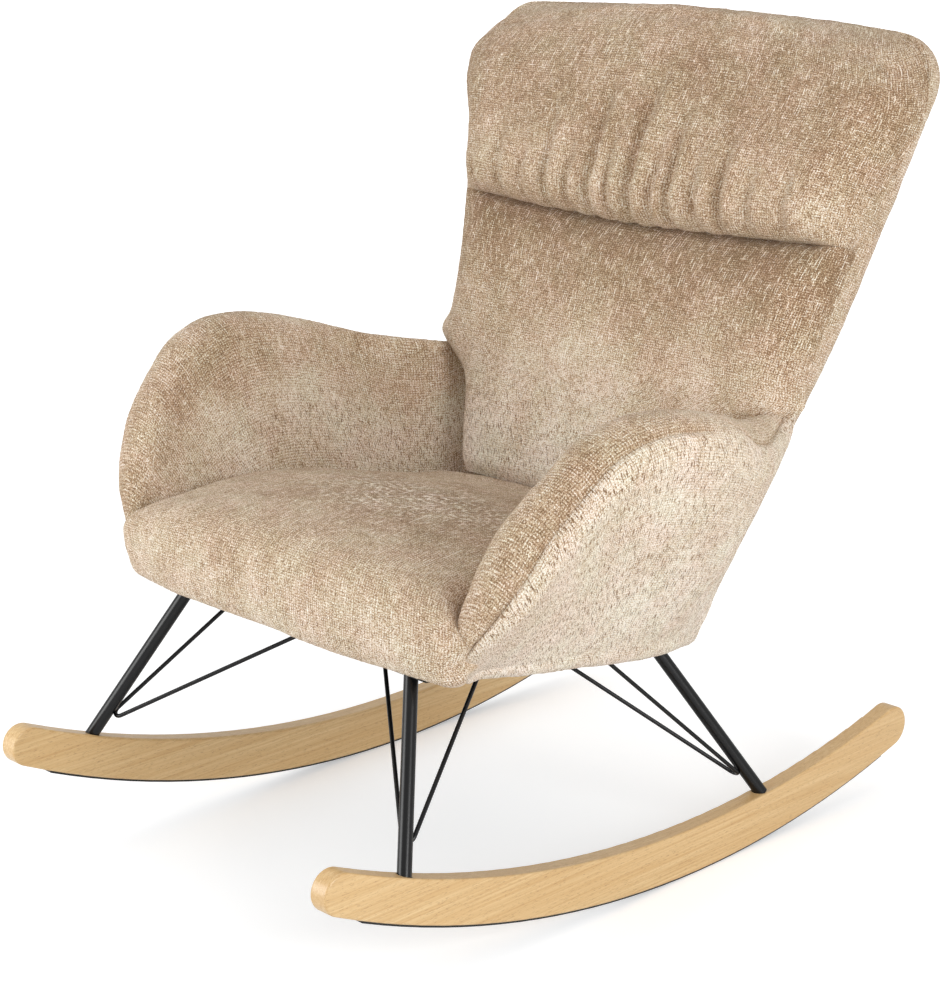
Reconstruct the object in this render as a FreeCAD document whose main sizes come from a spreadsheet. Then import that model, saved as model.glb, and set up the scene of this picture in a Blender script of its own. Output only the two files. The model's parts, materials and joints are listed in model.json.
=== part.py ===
"""A rocking armchair: two bentwood rockers, four tube legs braced by bent rods, and an upholstered tub seat.

Frame: millimetres, +Z up, the sitter faces -Y. The origin is on the floor, midway between the rockers,
under the line where they touch it. The seat is built in two tilted frames: the base frame, whose XY plane
is the seat's underside, and the back frame, whose Z axis runs up the backrest and whose Y axis points to
the rear. Pieces in them are drawn level and tilted by their Placement."""
import FreeCAD, Part
import math
import os

import Sketcher
from FreeCAD import Placement, Rotation, Vector

DIMENSIONS = (
    # Rockers: arcs under and over, one section deep where they touch the floor, with a strip glued below
    ("rocker_spacing", 550.0),
    ("rocker_width", 24.0),
    ("rocker_depth", 57.0),
    ("floor_radius", 1350.0),
    ("rocker_top_radius", 1401.0),
    ("rocker_front_reach", 600.0),
    ("rocker_back_reach", 386.0),
    ("rocker_edge", 2.5),
    ("strip_thickness", 2.5),
    ("strip_width", 18.0),
    ("strip_front_reach", 548.0),
    ("strip_back_reach", 340.0),
    # Legs: tubes from shallow recesses in the rockers to the steel rails under the seat
    ("leg_diameter", 16.0),
    ("leg_wall", 1.5),
    ("leg_sink", 3.0),
    ("leg_recess_diameter", 17.4),
    ("front_foot_reach", 481.0),
    ("back_foot_reach", 106.0),
    ("front_head_spread", 382.0),
    ("back_head_spread", 364.0),
    ("front_head_reach", 397.0),
    ("back_head_reach", 2.0),
    # Leg fixings: a plug with a stud in the tube, and a sleeve nut up through the rocker
    ("plug_clearance", 0.05),
    ("plug_length", 26.0),
    ("stud_diameter", 8.0),
    ("stud_length", 42.0),
    ("stud_hole_clearance", 0.3),
    ("nut_bore_clearance", 0.06),
    ("nut_barrel_diameter", 11.0),
    ("nut_barrel_length", 20.0),
    ("nut_head_diameter", 16.0),
    ("nut_head_height", 3.0),
    # Braces: one rod per leg, bent in a V, its arms welded under the bars and rails
    ("rod_diameter", 5.0),
    ("rod_bend_radius", 8.0),
    ("rod_bend_height", 30.0),
    ("weld_gap", 0.1),
    ("front_outer_spread", 381.0),
    ("front_inner_spread", 75.0),
    ("back_outer_spread", 367.0),
    ("back_inner_spread", 60.0),
    ("front_bar_inset", 104.5),
    ("back_bar_inset", 111.0),
    # Seat base, seen from its tilted underside: cover, rails, bars, board and the bolts that join them
    ("seat_slope_angle", 9.3),
    ("underside_height", 259.0),
    ("dust_cover_thickness", 1.0),
    ("dust_cover_spread", 452.0),
    ("dust_cover_back_spread", 408.0),
    ("dust_cover_hole_clearance", 1.5),
    ("rail_lift", 5.0),
    ("rail_width", 34.0),
    ("rail_spread", 373.0),
    ("rail_overrun", 11.0),
    ("bar_width", 26.0),
    ("bar_thickness", 5.0),
    ("board_thickness", 12.0),
    ("board_spread", 460.0),
    ("board_back_spread", 424.0),
    ("board_taper_reach", 62.0),
    ("bolt_diameter", 6.0),
    ("bolt_hole_clearance", 0.3),
    ("bolt_head_diameter", 12.0),
    ("bolt_head_height", 4.0),
    ("bolt_length", 16.0),
    ("bolt_inset", 40.0),
    ("tee_nut_diameter", 19.0),
    ("tee_nut_flange", 1.5),
    ("tee_nut_barrel", 8.0),
    ("tee_nut_length", 9.0),
    # Back: leans over its foot and widens to the top
    ("back_lean_angle", 20.4),
    ("back_origin_y", 70.0),
    ("back_origin_height", 367.0),
    ("back_foot_drop", 116.0),
    ("back_rise", 646.0),
    ("back_crown", 12.0),
    ("back_foot_spread", 446.0),
    ("back_top_spread", 730.0),
    ("back_corner_radius", 62.0),
    ("back_foot_radius", 26.0),
    ("rear_cover_thickness", 40.0),
    ("rear_cover_round", 24.0),
    ("back_board_thickness", 12.0),
    ("back_board_margin", 60.0),
    ("back_board_foot", 8.0),
    ("lower_back_thickness", 42.0),
    ("lower_back_crown", 8.0),
    ("lower_back_lift", 12.0),
    ("head_seam_height", 374.0),
    ("head_thickness", 80.0),
    ("head_corner_radius", 120.0),
    # Seat cushion
    ("seat_front_padding", 33.0),
    ("seat_front_spread", 516.0),
    ("seat_flare_slope", 0.44),
    ("seat_crown", 24.0),
    ("seat_edge_height", 435.0),
    ("seat_back_height", 372.0),
    # Arms: padded walls that flare outwards to a round rim
    ("arm_front_inset", 13.0),
    ("arm_height", 600.0),
    ("arm_rim_radius", 40.0),
    ("arm_rim_spread", 692.0),
    ("arm_foot_spread", 510.0),
    ("arm_inner_spread", 412.0),
    ("arm_foot_round", 22.0),
    ("arm_panel_thickness", 10.0),
    ("arm_panel_inset", 78.0),
    ("arm_panel_length", 260.0),
    ("arm_panel_height", 190.0),
    ("arm_panel_spread", 447.0),
    ("arm_panel_flare_angle", 26.0),
    # Room left between pieces that lie against each other, and what cutting tools run past
    ("soft_gap", 0.3),
    ("arm_room_gap", 0.8),
    ("seat_gap", 0.1),
    ("overrun", 40.0),
)

# Shapes of the soft pieces, as shares of the dimensions above

# Front corner rolls of the back pads, as shares of their thickness there
LOWER_BACK_ROLL_SHARE = 0.6
HEAD_ROLL_SHARE = 0.92

# Arm sections from front to back: depth, crest height above the underside, rim spread, rim radius, and spread of
# the outer and of the inner foot
ARM_STATION_SHARES = (
    (-1.0, 0.311, 0.828, 0.42, 1.0, 1.0),
    (-0.965, 0.471, 0.846, 0.78, 1.0, 1.0),
    (-0.90, 0.653, 0.890, 1.0, 1.0, 1.0),
    (-0.79, 0.835, 0.935, 1.0, 1.0, 1.0),
    (-0.68, 0.936, 0.975, 1.0, 1.0, 1.0),
    (-0.58, 0.980, 0.998, 1.0, 1.0, 1.0),
    (-0.38, 0.993, 1.010, 1.0, 1.0, 1.0),
    (-0.18, 0.983, 0.995, 0.98, 0.985, 1.0),
    (0.03, 0.971, 0.915, 0.86, 0.92, 0.97),
    (0.235, 0.956, 0.780, 0.52, 0.82, 0.88),
    (0.38, 0.995, 0.745, 0.40, 0.77, 0.83),
)
# Seat cushion sections across the chair: half width, crown, reach of the nose
SEAT_SECTION_SHARES = (
    (-1.0, -0.4, 0.945),
    (-0.75, 0.3, 0.985),
    (0.0, 0.9, 1.0),
    (0.75, 0.3, 0.985),
    (1.0, -0.4, 0.945),
)
# Seat cushion profile at its side from behind the back over the top to the front's foot: depth and edge height
SEAT_PROFILE_SHARES = (
    ((0.27, -0.28), (-0.45, 0.76), (-0.905, 0.84)),
    ((-0.905, 0.84), (-0.978, 0.61), (-1.0, 0.13)),
)
# The front's lower roll: depth and height of its middle, depth of its foot on the underside
SEAT_ROLL_SHARES = (-0.986, -0.50, -0.937)
# Lower back cushion sections from its foot to the seam: rise, half width, thickness
LOWER_BACK_SHARES = (
    (0.0, 0.88, 0.45),
    (0.08, 0.90, 0.90),
    (0.38, 0.905, 1.0),
    (0.52, 0.955, 1.0),
    (0.75, 0.965, 1.0),
    (0.93, 0.985, 0.94),
    (1.0, 0.97, 0.70),
)
# Head pillow sections from its seam to the top: rise, front thickness at the side and in the middle
HEAD_SECTION_SHARES = (
    (0.0, 0.46, 0.62),
    (0.07, 0.68, 0.88),
    (0.25, 0.84, 1.0),
    (0.55, 0.78, 0.96),
    (0.80, 0.54, 0.76),
    (0.93, 0.30, 0.50),
    (1.0, 0.10, 0.20),
)

doc = FreeCAD.newDocument("rocking_armchair")
sheet = doc.addObject("Spreadsheet::Sheet", "Sizes")
for row, (alias, value) in enumerate(DIMENSIONS, start=1):
    sheet.set(f"A{row}", alias)
    sheet.set(f"B{row}", str(value))
    sheet.setAlias(f"B{row}", alias)
doc.recompute()

SIDES = (("left", -1), ("right", 1))
ENDS = ("front", "back")
# Steps that settle the size of a rocker's round tip
TIP_ROUNDS = 20
parts = []


def size(alias):
    """A driving dimension, read from the sheet."""
    return float(sheet.get(alias))


def half(alias):
    """Half of a driving dimension."""
    return size(alias) / 2


def keep(obj, label):
    """Names a finished sub-part and lists it for writing."""
    obj.Label = label
    parts.append(obj)
    return obj


def feature(label, shape, placement=None):
    """A sub-part whose shape is set directly."""
    obj = doc.addObject("Part::Feature", label)
    obj.Shape = shape
    obj.Placement = placement or Placement()
    return keep(obj, label)


def cut(name, base, tools):
    """A Part::Cut of one object by several."""
    tool = tools[0]
    if len(tools) > 1:
        tool = doc.addObject("Part::MultiFuse", f"{name}_tools")
        tool.Shapes = tools
    obj = doc.addObject("Part::Cut", f"{name}_cut")
    obj.Base = base
    obj.Tool = tool
    return obj


def cylinder(name, diameter, length, frame, lift=0.0):
    """A Part::Cylinder up a frame's Z axis, its sizes given as expressions."""
    obj = doc.addObject("Part::Cylinder", name)
    obj.setExpression("Radius", f"({diameter}) / 2")
    obj.setExpression("Height", length)
    obj.Placement = frame * Placement(Vector(0, 0, lift), Rotation())
    return obj


def block(name, lengths, frame, corner):
    """A Part::Box in a frame, its three lengths given as expressions."""
    obj = doc.addObject("Part::Box", name)
    for side, length in zip(("Length", "Width", "Height"), lengths):
        obj.setExpression(side, length)
    obj.Placement = frame * Placement(corner, Rotation())
    return obj


def new_body(name, frame):
    """A PartDesign body placed in a frame."""
    body = doc.addObject("PartDesign::Body", name)
    body.Placement = frame
    return body


def sketch_on(body, role, lift="0 mm"):
    """An empty sketch on one of the body's origin planes, lifted off it by an expression."""
    sketch = body.newObject("Sketcher::SketchObject", "Sketch")
    plane = next(o for o in body.Origin.OriginFeatures if o.Role == role)
    sketch.AttachmentSupport = [(plane, "")]
    sketch.MapMode = "FlatFace"
    sketch.setExpression("AttachmentOffset.Base.z", lift)
    return sketch


def add_outline(sketch, edges):
    """Adds lines of 2 points and arcs of 3 points to a sketch; a point is a pair in its plane."""
    for points in edges:
        vectors = [Vector(*point, 0) for point in points]
        curve = Part.LineSegment(*vectors) if len(vectors) == 2 else Part.Arc(*vectors)
        sketch.addGeometry(curve, False)


def rectangle(low, high):
    """Outline of a rectangle between two corners."""
    corners = (low, (high[0], low[1]), high, (low[0], high[1]))
    return [(corners[i], corners[(i + 1) % 4]) for i in range(4)]


def add_circle(sketch, diameter):
    """Adds a circle round the sketch's origin whose diameter is bound to the sheet."""
    index = sketch.addGeometry(Part.Circle(Vector(), Vector(0, 0, 1), half(diameter)), False)
    constraint = sketch.addConstraint(Sketcher.Constraint("Diameter", index, size(diameter)))
    sketch.renameConstraint(constraint, f"diameter_{index}")
    sketch.setExpression(f"Constraints.diameter_{index}", f"Sizes.{diameter}")


def pad(body, sketch, length):
    """A pad of a sketch, its length an expression."""
    made = body.newObject("PartDesign::Pad", "Pad")
    made.Profile = sketch
    made.setExpression("Length", length)
    return made


def fillet(body, base, edges, radius):
    """Rounds named edges of a body's last feature."""
    made = body.newObject("PartDesign::Fillet", "Fillet")
    made.Base = (base, edges)
    made.setExpression("Radius", radius)
    return made


def wire(edges):
    """A closed wire from lines of 2 vectors and arcs of 3."""
    curves = [Part.LineSegment(*e) if len(e) == 2 else Part.Arc(*e) for e in edges]
    return Part.Wire([curve.toShape() for curve in curves])


def loft(sections):
    """A smooth solid through closed wires."""
    return Part.makeLoft(sections, True, False)


def mirrored(point, side):
    """A point of the right half on the given side."""
    return Vector(side * point.x, point.y, point.z)


def frame_along(origin, axis, across):
    """A placement whose Z runs along axis and whose X lies as near as it can to across."""
    return Placement(origin, Rotation(across, Vector(), axis, "ZXY"))


# Places that several pieces share

SLOPE = math.radians(size("seat_slope_angle"))
TILT_AXIS = Vector(1, 0, 0)
BASE = Placement(Vector(0, 0, size("underside_height")), Rotation(TILT_AXIS, -size("seat_slope_angle")))
BACK = Placement(
    Vector(0, size("back_origin_y"), size("back_origin_height")), Rotation(TILT_AXIS, -size("back_lean_angle"))
)
FLOOR_CENTRE = size("strip_thickness") + size("floor_radius")
TOP_CENTRE = size("strip_thickness") + size("rocker_depth") + size("rocker_top_radius")
RAIL_TOP = size("rail_lift") + size("bar_thickness")
BOARD_TOP = RAIL_TOP + size("board_thickness")
BAR_PLACES = {
    "front": size("front_bar_inset") - size("front_head_reach"),
    "back": -size("back_head_reach") - size("back_bar_inset"),
}
BOARD_FRONT = size("front_head_reach") + size("rail_overrun")
SEAT_FRONT = BOARD_FRONT + size("seat_front_padding")
ARM_FRONT = BOARD_FRONT - size("arm_front_inset")


def underside(y):
    """Height of the seat's underside at a depth y."""
    return size("underside_height") - y * math.tan(SLOPE)


def rocker_top(y):
    """Height of a rocker's top at a depth y."""
    return TOP_CENTRE - math.sqrt(size("rocker_top_radius") ** 2 - y**2)


def rocker_bottom(y, lift=0.0):
    """Height of a rocker's underside at a depth y, or of a line parallel to it."""
    return FLOOR_CENTRE - math.sqrt((size("floor_radius") - lift) ** 2 - y**2)


def leg_foot(end):
    """Foot of the right front or back leg, on the middle of the rocker's top."""
    y = -size("front_foot_reach") if end == "front" else size("back_foot_reach")
    return Vector(half("rocker_spacing"), y, rocker_top(y))


def leg_head(end):
    """Head of the right front or back leg, on the underside of the rails."""
    local = Vector(half(f"{end}_head_spread"), -size(f"{end}_head_reach"), size("rail_lift"))
    return BASE * local


def leg_frame(end, side):
    """A frame at a leg's foot with Z up the leg."""
    foot = mirrored(leg_foot(end), side)
    return frame_along(foot, mirrored(leg_head(end), side) - foot, TILT_AXIS)


def bolt_frame(end, side):
    """A frame on the rocker's underside below a leg's foot, with Z square to the rocker, and its depth there."""
    foot = mirrored(leg_foot(end), side)
    centre = Vector(foot.x, 0, FLOOR_CENTRE)
    outward = (foot - centre).normalize()
    origin = centre + outward * size("floor_radius")
    return frame_along(origin, outward * -1, TILT_AXIS), (foot - origin).Length


def welds_trim():
    """A block over the rails' underside that trims what is welded under them."""
    corner = Vector(-size("board_spread"), -2 * size("front_head_reach"), size("rail_lift"))
    lengths = ("2 * Sizes.board_spread", "4 * Sizes.front_head_reach", "2 * Sizes.overrun")
    return block("welds_trim", lengths, BASE, corner)


# Rockers and glide strips


def rocker_tip(reach, sign):
    """Low, outer and high point of a round tip tangent to the underside and the top."""
    floor_centre = Vector(0, FLOOR_CENTRE)
    top_centre = Vector(0, TOP_CENTRE)
    radius = half("rocker_depth")
    for _ in range(TIP_ROUNDS):
        y = sign * (reach - radius)
        centre = Vector(y, FLOOR_CENTRE - math.sqrt((size("floor_radius") - radius) ** 2 - y**2))
        room = (centre - top_centre).Length - size("rocker_top_radius")
        radius = (radius + room) / 2
    down = (centre - floor_centre).normalize()
    up = (top_centre - centre).normalize()
    outward = Vector(-down.y, down.x) * sign
    low = floor_centre + down * size("floor_radius")
    high = top_centre - up * size("rocker_top_radius")
    return [(p.x, p.y) for p in (low, centre + outward * radius, high)]


def rocker_outline():
    """Underside and top arcs joined by round tips, in the YZ plane."""
    front = rocker_tip(size("rocker_front_reach"), -1)
    back = rocker_tip(size("rocker_back_reach"), 1)
    under = (front[0], (0, rocker_bottom(0)), back[0])
    over = (back[2], (0, rocker_top(0)), front[2])
    return under, back, over, front[::-1]


def make_rocker(name, side):
    """One rocker, with a recess, a stud hole and a nut's counterbore at each leg."""
    body = new_body(f"{name}_body", Placement())
    body.setExpression("Placement.Base.x", f"{side} * Sizes.rocker_spacing / 2 - Sizes.rocker_width / 2")
    sketch = sketch_on(body, "YZ_Plane")
    add_outline(sketch, rocker_outline())
    solid = pad(body, sketch, "Sizes.rocker_width")
    doc.recompute()
    names = [f"Edge{i + 1}" for i in range(len(solid.Shape.Edges))]
    rims = [n for n, e in zip(names, solid.Shape.Edges) if e.BoundBox.XLength < size("rocker_edge")]
    fillet(body, solid, rims, "Sizes.rocker_edge")
    tools = []
    for end in ENDS:
        bolt, _ = bolt_frame(end, side)
        label = f"{name}_{end}"
        tools += [
            cylinder(f"{label}_recess", "Sizes.leg_recess_diameter", "Sizes.overrun", leg_frame(end, side),
                     -size("leg_sink") - size("seat_gap")),
            cylinder(f"{label}_stud_hole", "Sizes.stud_diameter + 2 * Sizes.stud_hole_clearance",
                     "Sizes.rocker_depth + 2 * Sizes.leg_sink", bolt, -size("leg_sink")),
            cylinder(f"{label}_barrel_hole", "Sizes.nut_barrel_diameter + 2 * Sizes.stud_hole_clearance",
                     "Sizes.nut_barrel_length + Sizes.leg_sink", bolt, -size("leg_sink")),
            cylinder(f"{label}_head_hole", "Sizes.nut_head_diameter + 2 * Sizes.stud_hole_clearance",
                     "Sizes.nut_head_height + Sizes.leg_sink", bolt, -size("leg_sink")),
        ]
    keep(cut(name, body, tools), name)


def make_strip(name, side):
    """The strip glued under a rocker, from just behind its front tip."""
    body = new_body(name, Placement())
    body.setExpression("Placement.Base.x", f"{side} * Sizes.rocker_spacing / 2 - Sizes.strip_width / 2")
    sketch = sketch_on(body, "YZ_Plane")
    ends = (-size("strip_front_reach"), size("strip_back_reach"))
    over = [(y, rocker_bottom(y)) for y in (ends[0], 0, ends[1])]
    under = [(y, rocker_bottom(y, -size("strip_thickness"))) for y in (ends[0], 0, ends[1])]
    add_outline(sketch, (over, (over[2], under[2]), under[::-1], (under[0], over[0])))
    pad(body, sketch, "Sizes.strip_width")
    keep(body, name)


# Legs and their fixings


def make_leg(name, end, side, trim):
    """A tube from its recess to the rails, its head trimmed to lie flat under them."""
    frame = leg_frame(end, side)
    length = (leg_head(end) - leg_foot(end)).Length + size("leg_sink") + size("leg_diameter")
    body = new_body(f"{name}_body", frame * Placement(Vector(0, 0, -size("leg_sink")), Rotation()))
    sketch = sketch_on(body, "XY_Plane")
    add_circle(sketch, "leg_diameter")
    bore_radius = half("leg_diameter") - size("leg_wall")
    bore = sketch.addGeometry(Part.Circle(Vector(), Vector(0, 0, 1), bore_radius), False)
    constraint = sketch.addConstraint(Sketcher.Constraint("Radius", bore, bore_radius))
    sketch.renameConstraint(constraint, "bore")
    sketch.setExpression("Constraints.bore", "Sizes.leg_diameter / 2 - Sizes.leg_wall")
    tube = body.newObject("PartDesign::Pad", "Pad")
    tube.Profile = sketch
    tube.Length = length
    keep(cut(name, body, [trim]), name)


def plug_shape(end, side):
    """A plug in the tube's foot, with a stud that points square down through the rocker."""
    frame = leg_frame(end, side)
    bolt, depth = bolt_frame(end, side)
    radius = half("leg_diameter") - size("leg_wall") - size("plug_clearance")
    down = Vector(0, 0, -1)
    plug = Part.makeCylinder(radius, size("plug_length"), Vector(), Vector(0, 0, 1))
    plug.Placement = frame
    stud = Part.makeCylinder(half("stud_diameter"), size("stud_length") + size("leg_sink"), Vector(), down)
    stud.Placement = bolt * Placement(Vector(0, 0, depth + size("leg_sink")), Rotation())
    return plug.fuse(stud).removeSplitter()


def sleeve_nut_shape(end, side):
    """A sleeve nut whose head lies in the rocker's underside and whose barrel takes the stud."""
    bolt, _ = bolt_frame(end, side)
    start = Vector(0, 0, size("soft_gap"))
    head = Part.makeCylinder(half("nut_head_diameter"), size("nut_head_height") - size("soft_gap"), start)
    barrel = Part.makeCylinder(half("nut_barrel_diameter"), size("nut_barrel_length") - size("soft_gap"), start)
    bore_radius = half("stud_diameter") + size("nut_bore_clearance")
    bore = Part.makeCylinder(bore_radius, size("nut_barrel_length"), Vector(0, 0, size("nut_head_height")))
    nut = head.fuse(barrel).removeSplitter().cut(bore)
    nut.Placement = bolt
    return nut


# Braces


def brace_places(end, side):
    """Bend of a brace beside its leg, and the ends of its outer and inner arm under the rail and the bar."""
    foot, head = leg_foot(end), leg_head(end)
    up = (head - foot).normalize()
    on_leg = foot + up * (size("rod_bend_height") / up.z)
    heads = [Vector(half(f"{end}_{arm}_spread"), BAR_PLACES[end], size("rail_lift")) for arm in ("outer", "inner")]
    ends = [BASE * head for head in heads]
    middle = (ends[0] + ends[1]) * 0.5 - on_leg
    away = (middle - up * middle.dot(up)).normalize()
    bend = on_leg + away * (half("leg_diameter") + half("rod_diameter") + size("weld_gap"))
    return mirrored(bend, side), [mirrored(point, side) for point in ends]


def make_brace(name, end, side, trim):
    """A rod bent in a V: welded at its bend to the leg's inner side, its arms rising to the rail and the bar."""
    bend, ends = brace_places(end, side)
    rays = [(point - bend).normalize() for point in ends]
    along = (rays[0] + rays[1]).normalize()
    across = (rays[0] - along * rays[0].dot(along)).normalize()
    body = new_body(f"{name}_body", frame_along(bend, along.cross(across), along))
    radius = size("rod_bend_radius")
    reach = [(point - bend).Length + half("overrun") for point in ends]
    turn = math.acos(rays[0].dot(along))
    touch = (radius * (1 - math.sin(turn)), radius * math.cos(turn))
    tips = [(touch[0] + r * math.cos(turn), touch[1] + r * math.sin(turn)) for r in reach]
    path = sketch_on(body, "XY_Plane")
    low = (touch[0], -touch[1])
    add_outline(
        path,
        (
            (tips[0], touch),
            (touch, (0, 0), low),
            (low, (tips[1][0], -tips[1][1])),
        ),
    )
    doc.recompute()
    profile = body.newObject("Sketcher::SketchObject", "Profile")
    profile.AttachmentSupport = [(next(o for o in body.Origin.OriginFeatures if o.Role == "XY_Plane"), "")]
    profile.MapMode = "FlatFace"
    profile.AttachmentOffset = Placement(
        Vector(*tips[0], 0), Rotation(Vector(0, 0, 1), Vector(math.cos(turn), math.sin(turn), 0))
    )
    add_circle(profile, "rod_diameter")
    pipe = body.newObject("PartDesign::AdditivePipe", "Pipe")
    pipe.Profile = profile
    pipe.Spine = (path, ["Edge1", "Edge2", "Edge3"])
    keep(cut(name, body, [trim]), name)


# Seat base


def back_face(y_drop):
    """Depth in the base frame where the back's front plane crosses a height there."""
    origin = BASE.inverse() * BACK.Base
    normal = BASE.inverse().Rotation.multVec(BACK.Rotation.multVec(Vector(0, 1, 0)))
    return origin.y - (y_drop - origin.z) * normal.z / normal.y


def bolt_places():
    """Where the bolts go through the rails and the bars, in the base frame."""
    ends = (-size("front_head_reach") + size("bolt_inset"), -size("back_head_reach") - size("bolt_inset"))
    along = (ends[0], (ends[0] + ends[1]) / 2, ends[1])
    rails = [(side * half("rail_spread"), y) for _, side in SIDES for y in along]
    bars = [(side * half("rail_spread") / 2, y) for _, side in SIDES for y in BAR_PLACES.values()]
    return rails, bars


def tapered(front, spread, back_spread, back):
    """Outline of a plate that narrows to the back from where the board does."""
    taper = -size("board_taper_reach")
    right = ((spread / 2, -front), (spread / 2, taper), (back_spread / 2, back))
    corners = (*right, *[(-x, y) for x, y in reversed(right)])
    return [(corners[i], corners[(i + 1) % len(corners)]) for i in range(len(corners))]


def make_flat(name, outline, lift, thickness, diameter, holes):
    """A flat plate in the base frame, with those round holes that lie in its outline's span."""
    body = new_body(name, BASE)
    sketch = sketch_on(body, "XY_Plane", lift)
    add_outline(sketch, outline)
    low = [min(edge[0][i] for edge in outline) for i in (0, 1)]
    high = [max(edge[0][i] for edge in outline) for i in (0, 1)]
    for hole in holes:
        if low[0] < hole[0] < high[0] and low[1] < hole[1] < high[1]:
            sketch.addGeometry(Part.Circle(Vector(*hole, 0), Vector(0, 0, 1), diameter / 2), False)
    pad(body, sketch, thickness)
    return keep(body, name)


def make_base():
    """Side rails, cross bars and the seat board over them."""
    rails, bars = bolt_places()
    hole = size("bolt_diameter") + 2 * size("bolt_hole_clearance")
    front = -size("front_head_reach") - size("rail_overrun")
    back = -size("back_head_reach") + size("rail_overrun")
    inner = half("rail_spread") - half("rail_width")
    for word, side in SIDES:
        edges = sorted((side * inner, side * (inner + size("rail_width"))))
        make_flat(
            f"side_rail_{word}",
            rectangle((edges[0], front), (edges[1], back)),
            "Sizes.rail_lift",
            "Sizes.bar_thickness",
            hole,
            rails,
        )
    for end in ENDS:
        low = (size("seat_gap") - inner, BAR_PLACES[end] - half("bar_width"))
        high = (inner - size("seat_gap"), BAR_PLACES[end] + half("bar_width"))
        make_flat(f"cross_bar_{end}", rectangle(low, high), "Sizes.rail_lift", "Sizes.bar_thickness", hole, bars)
    make_flat(
        "seat_board",
        tapered(BOARD_FRONT, size("board_spread"), size("board_back_spread"), back_face(RAIL_TOP) - size("soft_gap")),
        "Sizes.rail_lift + Sizes.bar_thickness + Sizes.seat_gap",
        "Sizes.board_thickness - Sizes.seat_gap",
        size("tee_nut_barrel") + 2 * size("bolt_hole_clearance"),
        rails + bars,
    )
    bolts = []
    nuts = []
    for x, y in rails + bars:
        head = Part.makeCylinder(half("bolt_head_diameter"), size("bolt_head_height"),
                                 Vector(x, y, size("rail_lift") - size("seat_gap") - size("bolt_head_height")))
        shank = Part.makeCylinder(half("bolt_diameter"), size("bolt_length") + size("seat_gap"),
                                  Vector(x, y, size("rail_lift") - size("seat_gap")))
        bolts.append(head.fuse(shank).removeSplitter())
        flange = Part.makeCylinder(half("tee_nut_diameter"), size("tee_nut_flange"),
                                   Vector(x, y, BOARD_TOP + size("seat_gap")))
        barrel = Part.makeCylinder(half("tee_nut_barrel"), size("tee_nut_length") + size("seat_gap"),
                                   Vector(x, y, BOARD_TOP - size("tee_nut_length")))
        bore = Part.makeCylinder(half("bolt_diameter") + size("nut_bore_clearance"), size("overrun"),
                                 Vector(x, y, BOARD_TOP - size("tee_nut_length")))
        nuts.append(flange.fuse(barrel).removeSplitter().cut(bore))
    feature("base_bolts", Part.makeCompound(bolts), BASE)
    feature("tee_nuts", Part.makeCompound(nuts), BASE)


def make_dust_cover():
    """The cloth under the seat, with holes where the legs and the rods pass."""
    back = back_face(0) + size("rail_overrun")
    body = new_body("dust_cover_body", BASE)
    sketch = sketch_on(body, "XY_Plane", "-Sizes.dust_cover_thickness - Sizes.seat_gap")
    add_outline(sketch, tapered(BOARD_FRONT, size("dust_cover_spread"), size("dust_cover_back_spread"), back))
    pad(body, sketch, "Sizes.dust_cover_thickness")
    tools = []
    for end in ENDS:
        for word, side in SIDES:
            frame = leg_frame(end, side)
            tools.append(cylinder(f"{end}_{word}_leg_way", "Sizes.leg_diameter + 2 * Sizes.dust_cover_hole_clearance",
                                  "Sizes.front_head_reach", frame))
            bend, tips = brace_places(end, side)
            for index, tip in enumerate(tips):
                way = frame_along(bend, tip - bend, TILT_AXIS)
                tools.append(cylinder(f"{end}_{word}_rod_way_{index}",
                                      "Sizes.rod_diameter + 2 * Sizes.dust_cover_hole_clearance",
                                      "Sizes.front_head_reach", way))
    keep(cut("dust_cover", body, tools), "dust_cover")


# Arms


def arm_station(shares):
    """Depth, rim centre and rim radius of an arm's section."""
    depth, rise, spread, rim = shares[:4]
    radius = rim * size("arm_rim_radius")
    y = depth * ARM_FRONT
    crest = underside(y) + rise * (size("arm_height") - underside(-ARM_FRONT / 2))
    return y, Vector(spread * half("arm_rim_spread"), y, crest - radius), radius


def tangent_touch(point, centre, radius, turn):
    """Where a line from a point touches a circle in the XZ plane, on the side that turn (1 or -1) gives."""
    across = centre - point
    reach = math.hypot(across.x, across.z)
    along = math.sqrt(reach**2 - radius**2)
    angle = math.atan2(across.z, across.x) + turn * math.asin(radius / reach)
    return Vector(point.x + along * math.cos(angle), point.y, point.z + along * math.sin(angle))


def arm_section(shares, side):
    """One section of an arm: flat foot, outer wall, round rim and inner wall."""
    y, centre, radius = arm_station(shares)
    low = underside(y)
    outer = shares[-2] * half("arm_foot_spread")
    turn = size("arm_foot_round")
    cut_in = turn * (1 - math.sqrt(0.5))
    foot = Vector(outer, y, low + turn)
    sole = Vector(outer - turn, y, low)
    bend = Vector(outer - cut_in, y, low + cut_in)
    inner = Vector(shares[-1] * half("arm_inner_spread"), y, low)
    out_touch = tangent_touch(foot, centre, radius, -1)
    in_touch = tangent_touch(inner, centre, radius, 1)
    crest = centre + Vector(0, 0, radius)

    def rim_middle(a, b):
        return centre + ((a + b) * 0.5 - centre).normalize() * radius

    edges = (
        (sole, bend, foot),
        (foot, out_touch),
        (out_touch, rim_middle(out_touch, crest), crest),
        (crest, rim_middle(crest, in_touch), in_touch),
        (in_touch, inner),
        (inner, sole),
    )
    return wire([[mirrored(p, side) for p in edge] for edge in edges])


def panel_frame(side):
    """Where an arm panel stands on the seat board, leaning outwards."""
    front = BOARD_FRONT - size("arm_panel_inset")
    corner = Vector(side * half("arm_panel_spread"), -front, BOARD_TOP + size("seat_gap"))
    return BASE * Placement(corner, Rotation(Vector(0, 1, 0), side * size("arm_panel_flare_angle")))


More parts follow.
